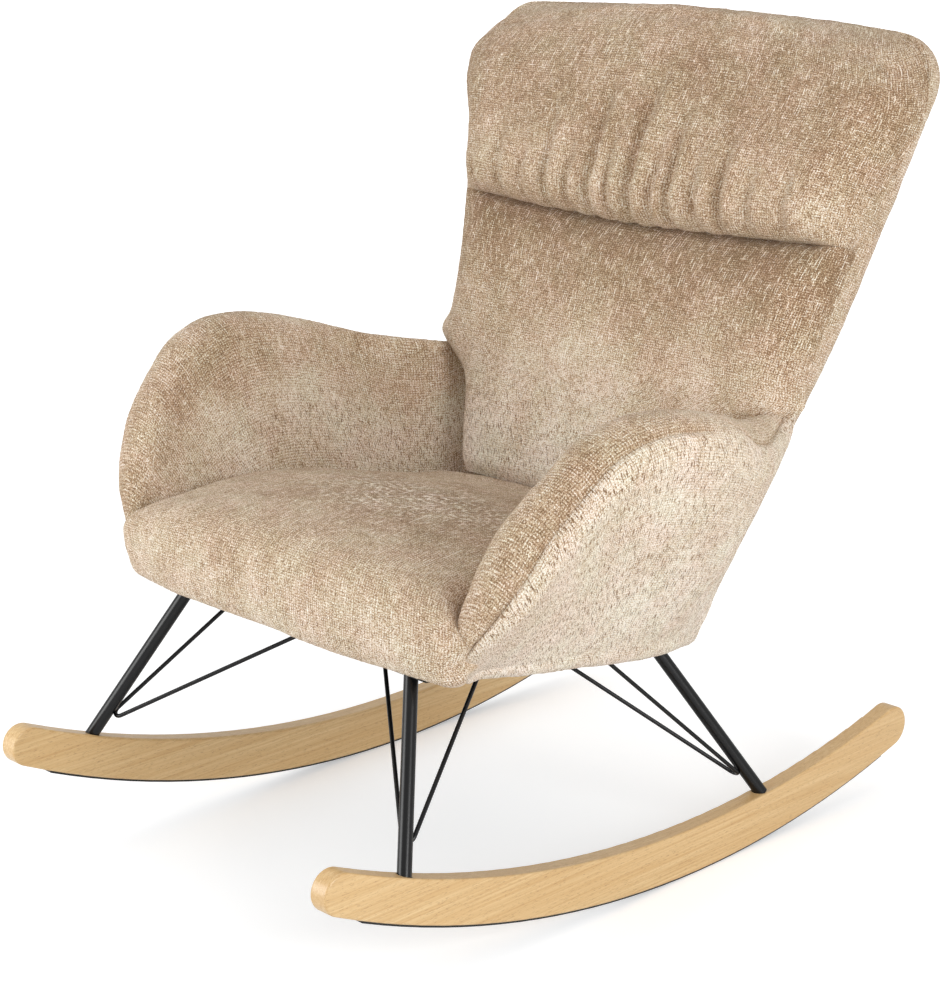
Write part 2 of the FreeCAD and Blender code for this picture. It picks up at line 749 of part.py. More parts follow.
def panel_block(side, room):
    """An arm panel, or the room for it, as a plain solid; its foot is cut level by the seat board."""
    wide = size("arm_panel_thickness") + 2 * room
    deep = size("arm_panel_length") + 2 * room
    high = size("arm_panel_height") + room + size("overrun")
    made = Part.makeBox(wide, deep, high, Vector(-wide / 2, -room, -size("overrun")))
    made.Placement = panel_frame(side)
    return made


def base_block(spread, back_spread, top):
    """The room that the seat base takes from what lies over it, to its spreads and a height, as a plain solid."""
    outline = tapered(BOARD_FRONT + size("soft_gap"), spread, back_spread, back_face(0) + size("overrun"))
    floor = [tuple(Vector(*point, -size("overrun")) for point in edge) for edge in outline]
    made = Part.Face(wire(floor)).extrude(Vector(0, 0, top + size("overrun")))
    made.Placement = BASE
    return made


def back_block():
    """Everything behind the back's front plane, as a plain solid."""
    wide = 2 * size("back_top_spread")
    made = Part.makeBox(wide, wide, 2 * wide, Vector(-wide / 2, -size("soft_gap"), -wide))
    made.Placement = BACK
    return made


def arm_room(side):
    """Everything outside an arm's inner wall, up to its crest, as a plain solid that the pads are cut by."""
    sections = []
    far = size("arm_rim_spread")
    gap = size("arm_room_gap")
    for index, shares in enumerate(ARM_STATION_SHARES):
        y, centre, radius = arm_station(shares)
        inner = Vector(shares[-1] * half("arm_inner_spread"), y, underside(y))
        way = tangent_touch(inner, centre, radius, 1) - inner
        front = gap if index == 0 else 0
        low = inner.z - size("overrun")
        high = centre.z + radius + gap
        line = [Vector(inner.x + way.x * (z - inner.z) / way.z - gap, y - front, z) for z in (low, high)]
        corners = [mirrored(p, side) for p in (*line, Vector(far, y - front, high), Vector(far, y - front, low))]
        sections.append(wire([(corners[i], corners[(i + 1) % 4]) for i in range(4)]))
    return loft(sections)


def make_arms():
    """Both padded arms with the plywood panels that they cover."""
    for word, side in SIDES:
        padding = loft([arm_section(shares, side) for shares in ARM_STATION_SHARES]).cut(back_block())
        spreads = [size(alias) + 2 * size("soft_gap") for alias in ("board_spread", "board_back_spread")]
        padding = padding.cut(base_block(*spreads, BOARD_TOP + size("soft_gap")))
        feature(f"arm_{word}", padding.cut(panel_block(side, size("soft_gap"))))
        panel = panel_block(side, 0).cut(base_block(*[2 * size("board_spread")] * 2, BOARD_TOP + size("seat_gap")))
        feature(f"arm_panel_{word}", panel)


# Seat cushion


def seat_section(shares):
    """A profile of the seat cushion at one place across the chair, leaning outwards with the arms."""
    across, crown, nose = shares
    height = size("seat_edge_height") - size("seat_back_height")
    foot = underside(-SEAT_FRONT)

    def lean(y, z):
        return Vector(across * (half("seat_front_spread") + size("seat_flare_slope") * (z - foot)), y, z)

    def place(depth, rise):
        y = depth * SEAT_FRONT * (nose if depth < 0 else 1)
        lift = crown * size("seat_crown") * min(1, max(0, rise + rise))
        return lean(y, size("seat_back_height") + rise * height + lift)

    arcs = [tuple(place(*point) for point in arc) for arc in SEAT_PROFILE_SHARES]
    middle_depth, middle_rise, toe_depth = SEAT_ROLL_SHARES
    toe_y = toe_depth * nose * SEAT_FRONT
    toe = lean(toe_y, underside(toe_y))
    heel_y = arcs[0][0].y
    heel = lean(heel_y, underside(heel_y))
    return wire((*arcs, (arcs[-1][-1], place(middle_depth, middle_rise), toe), (toe, heel), (heel, arcs[0][0])))


def make_seat():
    """The seat cushion: crowned, rolled over the front edge and falling to the back, fitted between the arms."""
    cushion = loft([seat_section(shares) for shares in SEAT_SECTION_SHARES])
    room = base_block(*[2 * size("board_spread")] * 2, BOARD_TOP + size("tee_nut_flange") + size("soft_gap"))
    for tool in (room, back_block(), lower_back_room(), arm_room(-1), arm_room(1)):
        cushion = cushion.cut(tool)
    feature("seat_cushion", cushion)


# Back


def back_width(rise):
    """Half width of the back at a height in its frame, before its corners are rounded."""
    foot = -size("back_foot_drop")
    share = (rise - foot) / (size("back_rise") - foot)
    return half("back_foot_spread") + share * (half("back_top_spread") - half("back_foot_spread"))


def corner_inset(rise):
    """How far the head pillow's round top corners draw its sides in at a height in the back's frame."""
    radius = size("head_corner_radius")
    into = rise - (size("back_rise") - size("back_crown") - radius)
    if into <= 0:
        return 0.0
    return radius - math.sqrt(max(radius**2 - into**2, 0.0))


def back_outline(margin, foot):
    """Outline of the back in its XZ plane, drawn in by a margin, its foot at its own height."""
    top = size("back_rise") - size("back_crown") - margin
    radius = size("back_corner_radius")
    low = size("back_foot_radius")
    wide = back_width(top - radius) - margin
    narrow = back_width(foot + low) - margin
    diagonal = 1 - math.sqrt(0.5)
    right = (
        ((narrow - low, foot), (narrow - low * diagonal, foot + low * diagonal), (narrow, foot + low)),
        ((narrow, foot + low), (wide, top - radius)),
        ((wide, top - radius), (wide - radius * diagonal, top - radius * diagonal), (wide - radius, top)),
    )
    crown = ((wide - radius, top), (0, top + size("back_crown")), (radius - wide, top))
    left = [tuple((-x, z) for x, z in reversed(edge)) for edge in reversed(right)]
    return [*right, crown, *left, ((low - narrow, foot), (narrow - low, foot))]


def make_rear_cover():
    """The upholstered rear shell with a flat pocket for the back board."""
    body = new_body("rear_cover", BACK)
    sketch = sketch_on(body, "XZ_Plane")
    add_outline(sketch, back_outline(0, -size("back_foot_drop")))
    solid = pad(body, sketch, "Sizes.rear_cover_thickness")
    solid.Reversed = True
    doc.recompute()
    rear = size("rear_cover_thickness")
    names = [
        f"Edge{i + 1}"
        for i, edge in enumerate(solid.Shape.Edges)
        if edge.BoundBox.YMin > rear - size("soft_gap") and edge.BoundBox.YLength < size("soft_gap")
    ]
    rounded = fillet(body, solid, names, "Sizes.rear_cover_round")
    doc.recompute()
    pocket_sketch = sketch_on(body, "XZ_Plane")
    foot = size("back_board_foot") - size("back_foot_drop") - size("soft_gap")
    add_outline(pocket_sketch, back_outline(size("back_board_margin") - size("soft_gap"), foot))
    pocket = body.newObject("PartDesign::Pocket", "Pocket")
    pocket.Profile = pocket_sketch
    pocket.setExpression("Length", "Sizes.back_board_thickness + Sizes.seat_gap")
    doc.recompute()
    if pocket.Shape.Volume > rounded.Shape.Volume - size("back_board_thickness"):
        pocket.Reversed = True
    doc.recompute()
    keep(body, "rear_cover")


def make_back_board():
    """The plywood board in the rear cover's pocket."""
    body = new_body("back_board", BACK)
    sketch = sketch_on(body, "XZ_Plane")
    foot = size("back_board_foot") - size("back_foot_drop")
    add_outline(sketch, back_outline(size("back_board_margin"), foot))
    solid = pad(body, sketch, "Sizes.back_board_thickness")
    solid.Reversed = True
    keep(body, "back_board")


def back_pad_section(rise, width, side_thickness, middle_thickness, roll_share):
    """A level section of a back pad: flat behind, rolled front corners, one arc across the front."""
    rear = -size("soft_gap")
    turn = roll_share * side_thickness
    cut_in = turn * (1 - math.sqrt(0.5))
    side_rear = Vector(width, rear, rise)
    side_front = Vector(width, turn - side_thickness, rise)
    corner = Vector(width - cut_in, cut_in - side_thickness, rise)
    front = Vector(width - turn, -side_thickness, rise)
    middle = Vector(0, -middle_thickness, rise)
    return wire(
        (
            (side_rear, side_front),
            (side_front, corner, front),
            (front, middle, mirrored(front, -1)),
            (mirrored(front, -1), mirrored(corner, -1), mirrored(side_front, -1)),
            (mirrored(side_front, -1), mirrored(side_rear, -1)),
            (mirrored(side_rear, -1), side_rear),
        )
    )


def lower_back_room():
    """The room of the lower back cushion and what is over it, as a plain solid."""
    wide = 2 * size("back_top_spread")
    deep = size("lower_back_thickness") + size("lower_back_crown") + size("soft_gap")
    made = Part.makeBox(wide, deep, wide, Vector(-wide / 2, -deep, size("lower_back_lift") - size("soft_gap")))
    made.Placement = BACK
    return made


def make_lower_back():
    """The lower back cushion, from just over the seat to the head pillow's seam."""
    foot = size("lower_back_lift")
    top = size("head_seam_height") - size("soft_gap")
    sections = []
    for rise_share, width_share, thickness_share in LOWER_BACK_SHARES:
        rise = foot + rise_share * (top - foot)
        side = thickness_share * size("lower_back_thickness")
        middle = thickness_share * (size("lower_back_thickness") + size("lower_back_crown"))
        width = width_share * back_width(rise)
        sections.append(back_pad_section(rise, width, side, middle, LOWER_BACK_ROLL_SHARE))
    cushion = loft(sections)
    cushion.Placement = BACK
    feature("lower_back_cushion", cushion.cut(arm_room(-1)).cut(arm_room(1)))


def make_head_pillow():
    """The head pillow, from its seam to the top of the back."""
    foot = size("head_seam_height")
    top = size("back_rise") - size("back_crown")
    sections = []
    for rise_share, side_share, middle_share in HEAD_SECTION_SHARES:
        rise = foot + rise_share * (top - foot)
        width = back_width(rise) - corner_inset(rise)
        side = side_share * size("head_thickness")
        middle = middle_share * size("head_thickness")
        sections.append(back_pad_section(rise, width, side, middle, HEAD_ROLL_SHARE))
    feature("head_pillow", loft(sections), BACK)


# The whole chair

for word, side in SIDES:
    make_rocker(f"rocker_{word}", side)
    make_strip(f"glide_strip_{word}", side)
trim = welds_trim()
for end in ENDS:
    for word, side in SIDES:
        make_leg(f"leg_{end}_{word}", end, side, trim)
        make_brace(f"brace_{end}_{word}", end, side, trim)
corners = [(end, side) for end in ENDS for _, side in SIDES]
feature("leg_plugs", Part.makeCompound([plug_shape(*corner) for corner in corners]))
feature("sleeve_nuts", Part.makeCompound([sleeve_nut_shape(*corner) for corner in corners]))
make_base()
make_dust_cover()
make_arms()
make_seat()
make_rear_cover()
make_back_board()
make_lower_back()
make_head_pillow()
doc.recompute()

failed = [obj.Name for obj in doc.Objects if "Invalid" in obj.State or "Error" in obj.State]
if failed:
    raise RuntimeError(f"objects failed to recompute: {failed}")
for obj in parts:
    if obj.Shape.isNull() or not obj.Shape.isValid():
        raise RuntimeError(f"{obj.Label} has no valid shape")

os.makedirs("parts", exist_ok=True)
for obj in parts:
    obj.Shape.exportStep(f"parts/{obj.Label}.step")
    box = obj.Shape.BoundBox
    print(f"{obj.Label}: {len(obj.Shape.Solids)} solids, {obj.Shape.Volume / 1000:.1f} cm3, "
          f"x {box.XMin:.1f} {box.XMax:.1f}, y {box.YMin:.1f} {box.YMax:.1f}, z {box.ZMin:.1f} {box.ZMax:.1f}")
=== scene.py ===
"""Looks of the rocking armchair: chenille upholstery, beech rockers, steel legs, floor, light and camera.

The upholstery is worked out in millimetres in the part's frame and put into its meshes in metres."""
import json
import math

import bmesh
import bpy
import numpy as np
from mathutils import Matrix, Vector


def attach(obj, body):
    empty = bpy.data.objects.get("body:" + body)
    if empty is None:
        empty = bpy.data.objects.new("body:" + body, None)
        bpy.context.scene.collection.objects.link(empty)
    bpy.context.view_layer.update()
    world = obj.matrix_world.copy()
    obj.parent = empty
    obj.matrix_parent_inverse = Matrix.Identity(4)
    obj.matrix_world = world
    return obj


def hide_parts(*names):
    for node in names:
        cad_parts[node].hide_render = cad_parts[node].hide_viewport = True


MM = 0.001
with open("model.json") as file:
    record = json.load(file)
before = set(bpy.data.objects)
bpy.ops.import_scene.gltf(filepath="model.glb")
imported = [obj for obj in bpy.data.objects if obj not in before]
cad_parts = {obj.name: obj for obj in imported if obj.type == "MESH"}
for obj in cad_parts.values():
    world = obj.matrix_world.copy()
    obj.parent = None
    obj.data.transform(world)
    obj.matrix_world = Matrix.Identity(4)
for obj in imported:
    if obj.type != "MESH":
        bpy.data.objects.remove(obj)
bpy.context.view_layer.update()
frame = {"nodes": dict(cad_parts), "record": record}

# Camera: the photograph's view, measured from the rockers and the legs
CAMERA_PLACE = (1.9576, -2.0273, 1.2225)
CAMERA_AZIMUTH = math.radians(45.69)
CAMERA_DROP = math.radians(16.37)
CAMERA_LENS = 86.36
CAMERA_SENSOR = 36.0

camera_data = bpy.data.cameras.new("camera")
camera_data.lens = CAMERA_LENS
camera_data.sensor_width = CAMERA_SENSOR
camera = bpy.data.objects.new("camera", camera_data)
camera.location = CAMERA_PLACE
camera.rotation_euler = (math.pi / 2 - CAMERA_DROP, 0.0, CAMERA_AZIMUTH)
bpy.context.scene.collection.objects.link(camera)
bpy.context.scene.camera = camera
bpy.context.scene.view_settings.view_transform = "Standard"

# The seat's tilted underside with the board on it, as the part has them
SEAT_SLOPE = math.tan(math.radians(9.3))
UNDERSIDE = 259.0
BOARD_FRONT = -408.8
BOARD_BACK = 8.0
BOARD_LIFT = 24.4

# The leaning back, as the part has it: rises are measured up its plane from the point at BACK_Y and BACK_Z
BACK_LEAN = math.radians(20.4)
BACK_Y = 70.0
BACK_Z = 367.0
BACK_FOOT = -116.0
BACK_TOP = 644.0
BACK_FOOT_HALF = 223.0
BACK_TOP_HALF = 365.0
BACK_CORNER = 78.0
SEAM_RISE = 374.0

# Covers in common: height and length of the waves of the padding, of its dents and of the pile's fuzz
UNEVENNESS = ((0.8, 150.0), (0.35, 40.0), (0.25, 7.0))
RIPPLE_WAVES = 9
RIPPLE_LENGTH_SHARES = (0.7, 1.5)
ARM_SEED = 11
SEAT_SEED = 23
BACK_SEED = 37
SHARP_EDGE = math.radians(50.0)
MERGE_DISTANCE = 0.02
SLIVER_LENGTH = 0.001
TINY = 1e-9

# Arm stations from the front's foot over the crest to the back: depth, height and spread of the rim's middle,
# its radius, and depth, outer spread and inner spread of the foot
ARM_STATIONS = np.array((
    (-401.0, 345.0, 262.0, 8.0, -362.0, 256.0, 222.0),
    (-397.0, 375.0, 280.0, 17.0, -345.0, 256.0, 212.0),
    (-385.0, 409.0, 297.0, 28.0, -325.0, 256.0, 207.0),
    (-366.0, 442.0, 309.0, 37.0, -300.0, 256.0, 206.0),
    (-343.0, 480.0, 321.0, 40.0, -268.0, 256.0, 206.0),
    (-308.0, 517.0, 333.0, 40.0, -232.0, 256.0, 206.0),
    (-262.0, 552.0, 343.0, 40.0, -194.0, 256.0, 206.0),
    (-190.0, 565.0, 350.0, 40.0, -146.0, 256.0, 206.0),
    (-85.0, 543.0, 346.0, 39.0, -70.0, 252.0, 205.0),
    (10.0, 505.0, 318.0, 34.0, -12.0, 239.0, 198.0),
    (95.0, 503.0, 280.0, 24.0, 20.0, 228.0, 184.0),
    (131.0, 530.0, 269.0, 20.0, 36.0, 224.0, 180.0),
))
ARM_DRAFT_ROWS = 400
ARM_ROWS = 190
ARM_FOOT_ROUND = 22.0
ARM_FOOT_ROUND_SHARE = 0.25
ARM_FOOT_DROP = 3.0
ARM_FOOT_DROP_DEPTHS = (-345.0, -260.0)
ARM_BULGE = 4.0
INNER_BULGE_SHARE = 0.6
STEEPEST_TOUCH_SHARE = 0.98

# Columns of an arm's section in their order round it, and where crest, crease and inner wall lie among them
SOLE_COLUMNS = 11
FOOT_COLUMNS = 8
WALL_COLUMNS = 43
RIM_COLUMNS = 46
CREASE_RIM_SHARE = 0.33
INNER_RIM_SHARE = 0.8
RIM_START = SOLE_COLUMNS + FOOT_COLUMNS + WALL_COLUMNS
CREST_COLUMN = RIM_START + RIM_COLUMNS // 2
CREASE_COLUMN = RIM_START + int(RIM_COLUMNS * CREASE_RIM_SHARE)
INNER_COLUMN = CREASE_COLUMN + int(RIM_COLUMNS * INNER_RIM_SHARE)

# Crease between an arm's panel and its rim: width in columns, and shares of the way over the arm
CREASE_DEPTH = 4.8
CREASE_WIDTH = 1.3
CREASE_FADE_SHARES = (0.5, 0.66)

# Fold behind an arm's crest and the puff inside it: columns from the crest, shares of the way over the arm
FOLD_START_SHARE = 0.63
FOLD_LENGTH_SHARE = 0.36
FOLD_DEPTH = 5.5
FOLD_WIDTH = 2.0
FOLD_COLUMN = 2.0
FOLD_DIP = 6.5
FOLD_DIP_SKEW = 0.8
FOLD_DIP_POWER = 0.9
PUFF_HEIGHT = 15.0
PUFF_SKEW = 1.4
PUFF_COLUMN = 9.0
PUFF_WIDTH = 6.5

# Painted light and shade on an arm, over the pile's level: its level, what each place adds or takes, and the
# columns where that comes in
ARM_NAP_AND_PAINTED_LIGHT = 0.84
RIM_PAINTED_SHADE = 0.6
RIM_SHADE_FROM_CREASE = (-1.0, 1.5)
CREASE_PAINTED_SHADE = 0.3
CREASE_SHADE_COLUMN = 0.5
CREASE_SHADE_WIDTH = 1.2
CREST_PAINTED_SHADE = 0.5
CREST_SHADE_FROM_CREASE = -6.0
INNER_PAINTED_LIGHT = 0.42
INNER_LIGHT_FROM_INNER = (-6.0, 10.0)
FOOT_PAINTED_LIGHT = 0.24
FOOT_LIGHT_COLUMNS = (50.0, 22.0)
FOLD_PAINTED_SHADE = 0.3
FOLD_SHADE_FROM_FOLD = (-1.0, 2.0)
FOLD_SHADE_FROM_CREST = (20.0, 10.0)
FOLD_LINE_PAINTED_SHADE = 0.5
FOLD_LINE_SHADE_WIDTH = 1.3

# Seat profile from under the back over the top and the nose to the toe: depth, height at the sides,
# half width and share of the crown
SEAT_PROFILE = np.array((
    (66.0, 374.0, 210.0, 0.3),
    (36.0, 384.0, 222.0, 0.5),
    (0.0, 387.0, 232.0, 0.6),
    (-94.0, 404.0, 248.0, 0.9),
    (-168.0, 420.0, 254.0, 1.0),
    (-233.0, 430.0, 257.0, 1.0),
    (-290.0, 433.0, 255.0, 1.0),
    (-345.0, 432.0, 251.0, 1.0),
    (-388.0, 428.0, 254.0, 1.0),
    (-414.0, 421.0, 268.0, 0.95),
    (-432.0, 409.0, 283.0, 0.75),
    (-440.0, 393.0, 291.0, 0.45),
    (-441.0, 372.0, 290.0, 0.2),
    (-438.0, 351.0, 285.0, 0.12),
    (-429.0, 334.0, 288.0, 0.1),
    (-415.0, 326.0, 281.0, 0.1),
))
# Half width of the seat's hollow over the board, at depths
SEAT_HOLLOW_HALVES = ((-400.0, 250.0), (-380.0, 214.0), (0.0, 205.0), (10.0, 196.0))
SEAT_DRAFT_POINTS = 600
SEAT_TOP_POINTS = 220
SEAT_TOE_POINTS = 6
SEAT_HOLLOW_POINTS = 61
SEAT_COLUMNS = 170
SEAT_CROWDING_SHARE = 0.35
SEAT_CROWN = 24.0
SEAT_CROWN_MIDDLE_SHARE = 0.9
SEAT_CROWN_FALL_SHARE = 1.1
SEAT_CROWN_POWER = 2.7
SEAT_BOW_SHARE = 0.05
SEAT_BOW_POWER = 4
SEAT_BOW_DEPTHS = (-300.0, -400.0)
SEAT_EDGE_ROLL = 20.0
SEAT_EDGE_SHARE = 0.1
SEAT_CORE_DEPTHS = (-395.0, 30.0)
SEAT_CORE_LIFT = 55.0
# The seat's pile level with painted light, and painted light on the nose's front, more of it lower down
SEAT_NAP_AND_PAINTED_LIGHT = 0.38
NOSE_PAINTED_LIGHT = 0.28
NOSE_LIGHT_HEIGHTS = (425.0, 330.0)
NOSE_LIGHT_DEPTHS = (-380.0, -420.0)
RUB_X = 20.0
RUB_Y = -225.0
RUB_ACROSS = 200.0
RUB_ALONG = 140.0

# Pads of the back in common: powers of their round edges, shares of the half width where the side begins, and
# how the top's crown, which hangs over in front, is spread
PAD_CROWDING_SHARE = 0.6
FRONT_POWER = 9
REAR_LOW_POWER = 7
REAR_POWER_GAIN = 9
REAR_POWER_RISES = (40.0, 240.0)
ROUNDING_POWER = 1 / 2.6
SIDE_SHARES = (0.84, 0.985)
BACK_CROWN = 10.0
BACK_CROWN_REACH = 160.0
FRONT_CROWN_GAIN = 3.0
FRONT_CROWN_DEPTH = 45.0
REAR_CROWN_LOSS_SHARE = 0.7
REAR_CROWN_DEPTH = 30.0
EDGE_POWER = 24
TOP_REACH = 5.0
PAD_REAR = -0.2

# The seam between both pads hangs down in front
SEAM_SAG = 17.0
SEAM_SAG_REACH = 100.0
SEAM_SAG_DEPTH = 40.0
SEAM_GAP = 0.3

# Gathers over the head pillow's seam: place across the back, length up the pillow, half width, depth, slant
GATHERS = (
    (-262.0, 46.0, 5.0, 2.6, -0.06),
    (-214.0, 60.0, 6.0, 3.0, -0.04),
    (-171.0, 48.0, 5.0, 2.6, 0.02),
    (-128.0, 92.0, 6.0, 4.2, -0.05),
    (-93.0, 60.0, 5.0, 3.2, 0.04),
    (-58.0, 118.0, 6.5, 5.0, 0.06),
    (-22.0, 74.0, 5.0, 3.6, -0.05),
    (8.0, 128.0, 7.0, 5.6, 0.07),
    (42.0, 70.0, 5.0, 3.8, 0.16),
    (74.0, 96.0, 6.0, 4.6, 0.02),
    (118.0, 62.0, 6.0, 3.6, -0.08),
    (152.0, 84.0, 6.0, 4.4, 0.05),
    (196.0, 54.0, 5.0, 3.0, 0.02),
    (243.0, 66.0, 6.0, 2.8, 0.05),
)
# A gather's valley and the ridge beside it, as shares of the gather's length, depth and half width
GATHER_FADE_SHARES = (0.3, 1.6)
VALLEY_DEPTH_SHARE = 2.3
VALLEY_WIDTH_SHARE = 1.2
RIDGE_HEIGHT_SHARE = 1.3
RIDGE_PLACE_SHARE = 2.6
RIDGE_WIDTH_SHARE = 1.8
GATHER_START = (-2.0, 5.0)

# Head pillow: depths in front of the back's plane at shares of its height, in the middle and at the sides,
# and its painted light and shade at rises: lighter on its round foot over the seam and at its top edge,
# darker between
PILLOW_ROWS = 150
PILLOW_COLUMNS = 230
PILLOW_FRONT = (
    (0.0, 22.0), (0.012, 42.0), (0.035, 58.0), (0.09, 74.0), (0.22, 80.0),
    (0.5, 76.0), (0.75, 66.0), (0.9, 50.0), (0.97, 31.0), (1.0, 0.4),
)
PILLOW_SIDE = ((0.0, 43.0), (0.1, 48.0), (0.3, 57.0), (0.6, 68.0), (0.85, 66.0), (0.96, 40.0), (1.0, 0.4))
PILLOW_CORNER = BACK_CORNER + 18.0
PILLOW_WIDER = 12.0
PILLOW_WIDER_RISE = 520.0
PILLOW_WIDER_REACH = 52.0
PILLOW_PAINTED_LIGHT_AND_SHADE = ((374.0, 0.27), (410.0, 0.32), (470.0, 0.06), (560.0, 0.05), (646.0, 0.38))
PILLOW_RUB = 0.35
PILLOW_RUB_RISES = (450.0, 600.0)

# Lower back cushion: depths and half widths at shares of its height, and its painted light and shade at
# rises: painted light towards its foot, painted shade up under the head pillow's seam
LOWER_ROWS = 130
LOWER_COLUMNS = 170
LOWER_FOOT = 12.0
LOWER_FRONT = (
    (0.0, 34.0), (0.03, 43.0), (0.1, 48.0), (0.4, 50.0), (0.7, 51.0),
    (0.86, 49.0), (0.95, 41.0), (0.985, 32.0), (1.0, 22.0),
)
LOWER_SIDE = ((0.0, 16.0), (0.03, 24.0), (0.1, 30.0), (0.36, 36.0), (0.45, 41.0), (0.6, 40.0), (1.0, 43.0))
LOWER_HALF = (
    (0.0, 200.0), (0.24, 222.0), (0.36, 241.0), (0.44, 262.0), (0.49, 283.0),
    (0.56, 290.0), (0.66, 293.0), (0.85, 304.0), (1.0, 314.3),
)
LOWER_OVERHANG = 7.0
LOWER_OVERHANG_RISES = (220.0, 320.0)
LOWER_WIDER = 24.0
LOWER_WIDER_RISE = 174.0
LOWER_WIDER_REACH = 22.0
LOWER_PAINTED_LIGHT_AND_SHADE = ((12.0, 1.25), (120.0, 0.72), (300.0, 0.17), (350.0, 0.0), (374.0, 0.0))
LOWER_RUB = 0.5
LOWER_RUB_RISES = (150.0, 330.0)

# Rear shell: depths behind the back's plane at shares of its height
REAR_ROWS = 200
REAR_COLUMNS = 150
REAR_DEPTH = (
    (0.0, 1.0), (0.01, 14.0), (0.03, 22.0), (0.07, 26.0), (0.2, 31.0), (0.35, 46.0), (0.55, 61.0),
    (0.7, 58.0), (0.86, 50.0), (0.95, 41.0), (0.975, 32.0), (0.99, 20.0), (1.0, 1.0),
)
REAR_FOOT_CORNER = 26.0
REAR_INSET = 7.0
REAR_INSET_SHARES = (0.05, 0.3)
# The rear shell's pile level with painted light, the same all over
REAR_NAP_AND_PAINTED_LIGHT = 0.35


def through(knots, values, at):
    """Smooth curve through values at knots: cubic Hermite pieces whose slopes are central differences."""
    knots = np.asarray(knots, float)
    values = np.asarray(values, float)
    slopes = np.gradient(values, knots, axis=0)
    index = np.clip(np.searchsorted(knots, at) - 1, 0, len(knots) - 2)
    width = knots[index + 1] - knots[index]
    share = np.clip((at - knots[index]) / width, 0.0, 1.0)
    if values.ndim == 2:
        share = share[:, None]
        width = width[:, None]
    passed = share * share * (3 - 2 * share)
    rise = share**3 - 2 * share**2 + share
    fall = share**3 - share**2
    straight = values[index] * (1 - passed) + values[index + 1] * passed
    return straight + width * (rise * slopes[index] + fall * slopes[index + 1])


def curve_at(table, at):
    """Smooth curve through a table's pairs of place and value."""
    places, values = np.transpose(table)
    return through(places, values, at)


def level_at(table, at):
    """Straight runs between a table's pairs of place and value."""
    places, values = np.transpose(table)
    return np.interp(at, places, values)


def even_steps(points, count):
    """Shares of the way along a line of points, so that count samples of it are evenly spaced."""
    lengths = np.concatenate(([0.0], np.cumsum(np.linalg.norm(np.diff(points, axis=0), axis=1))))
    return np.interp(np.linspace(0, lengths[-1], count), lengths, np.linspace(0, 1, len(points)))


def crowded_steps(count, crowding_share):
    """Steps from -1 to 1 that crowd towards both ends: a sine's share, and even steps for the rest."""
    even = np.linspace(-1, 1, count)
    return np.sin(even * math.pi / 2) * crowding_share + even * (1 - crowding_share)


def ease(low, high, at):
    """Smooth step from 0 at low to 1 at high."""
    share = np.clip((at - low) / (high - low), 0.0, 1.0)
    return share * share * (3 - 2 * share)


def bell(at, middle, width):
    """Bell curve: 1 at its middle, and 1/e at its width from it."""
    return np.exp(-(((at - middle) / width) ** 2))


def ripple(points, wavelength, seed):
    """Soft unevenness between -1 and 1: the mean of sine waves of about one length in seeded directions."""
    source = np.random.default_rng(seed)
    directions = source.normal(size=(RIPPLE_WAVES, 3))
    directions /= np.linalg.norm(directions, axis=1)[:, None]
    lengths = wavelength * source.uniform(*RIPPLE_LENGTH_SHARES, RIPPLE_WAVES)
    phases = source.uniform(0, 2 * np.pi, RIPPLE_WAVES)
    total = np.zeros(points.shape[:-1])
    for direction, length, phase in zip(directions, lengths, phases):
        total += np.sin(points @ direction * (2 * np.pi / length) + phase)
    return total / math.sqrt(RIPPLE_WAVES)


def grid_normals(grid):
    """Unit normals of a grid whose columns close on themselves: the cross of its two differences."""
    along = np.gradient(grid, axis=0)
    around = np.roll(grid, -1, axis=1) - np.roll(grid, 1, axis=1)
    normals = np.cross(around, along)
    length = np.linalg.norm(normals, axis=2, keepdims=True)
    return normals / np.maximum(length, TINY)


def softened(grid, seed, normals=None):
    """The grid with the slight unevenness of padded fabric and the fuzz of its pile along the normals."""
    if normals is None:
        normals = grid_normals(grid)
    amount = np.zeros(grid.shape[:2])
    for step, (height, length) in enumerate(UNEVENNESS):
        amount += height * ripple(grid, length, seed + step)
    return grid + normals * amount[:, :, None]


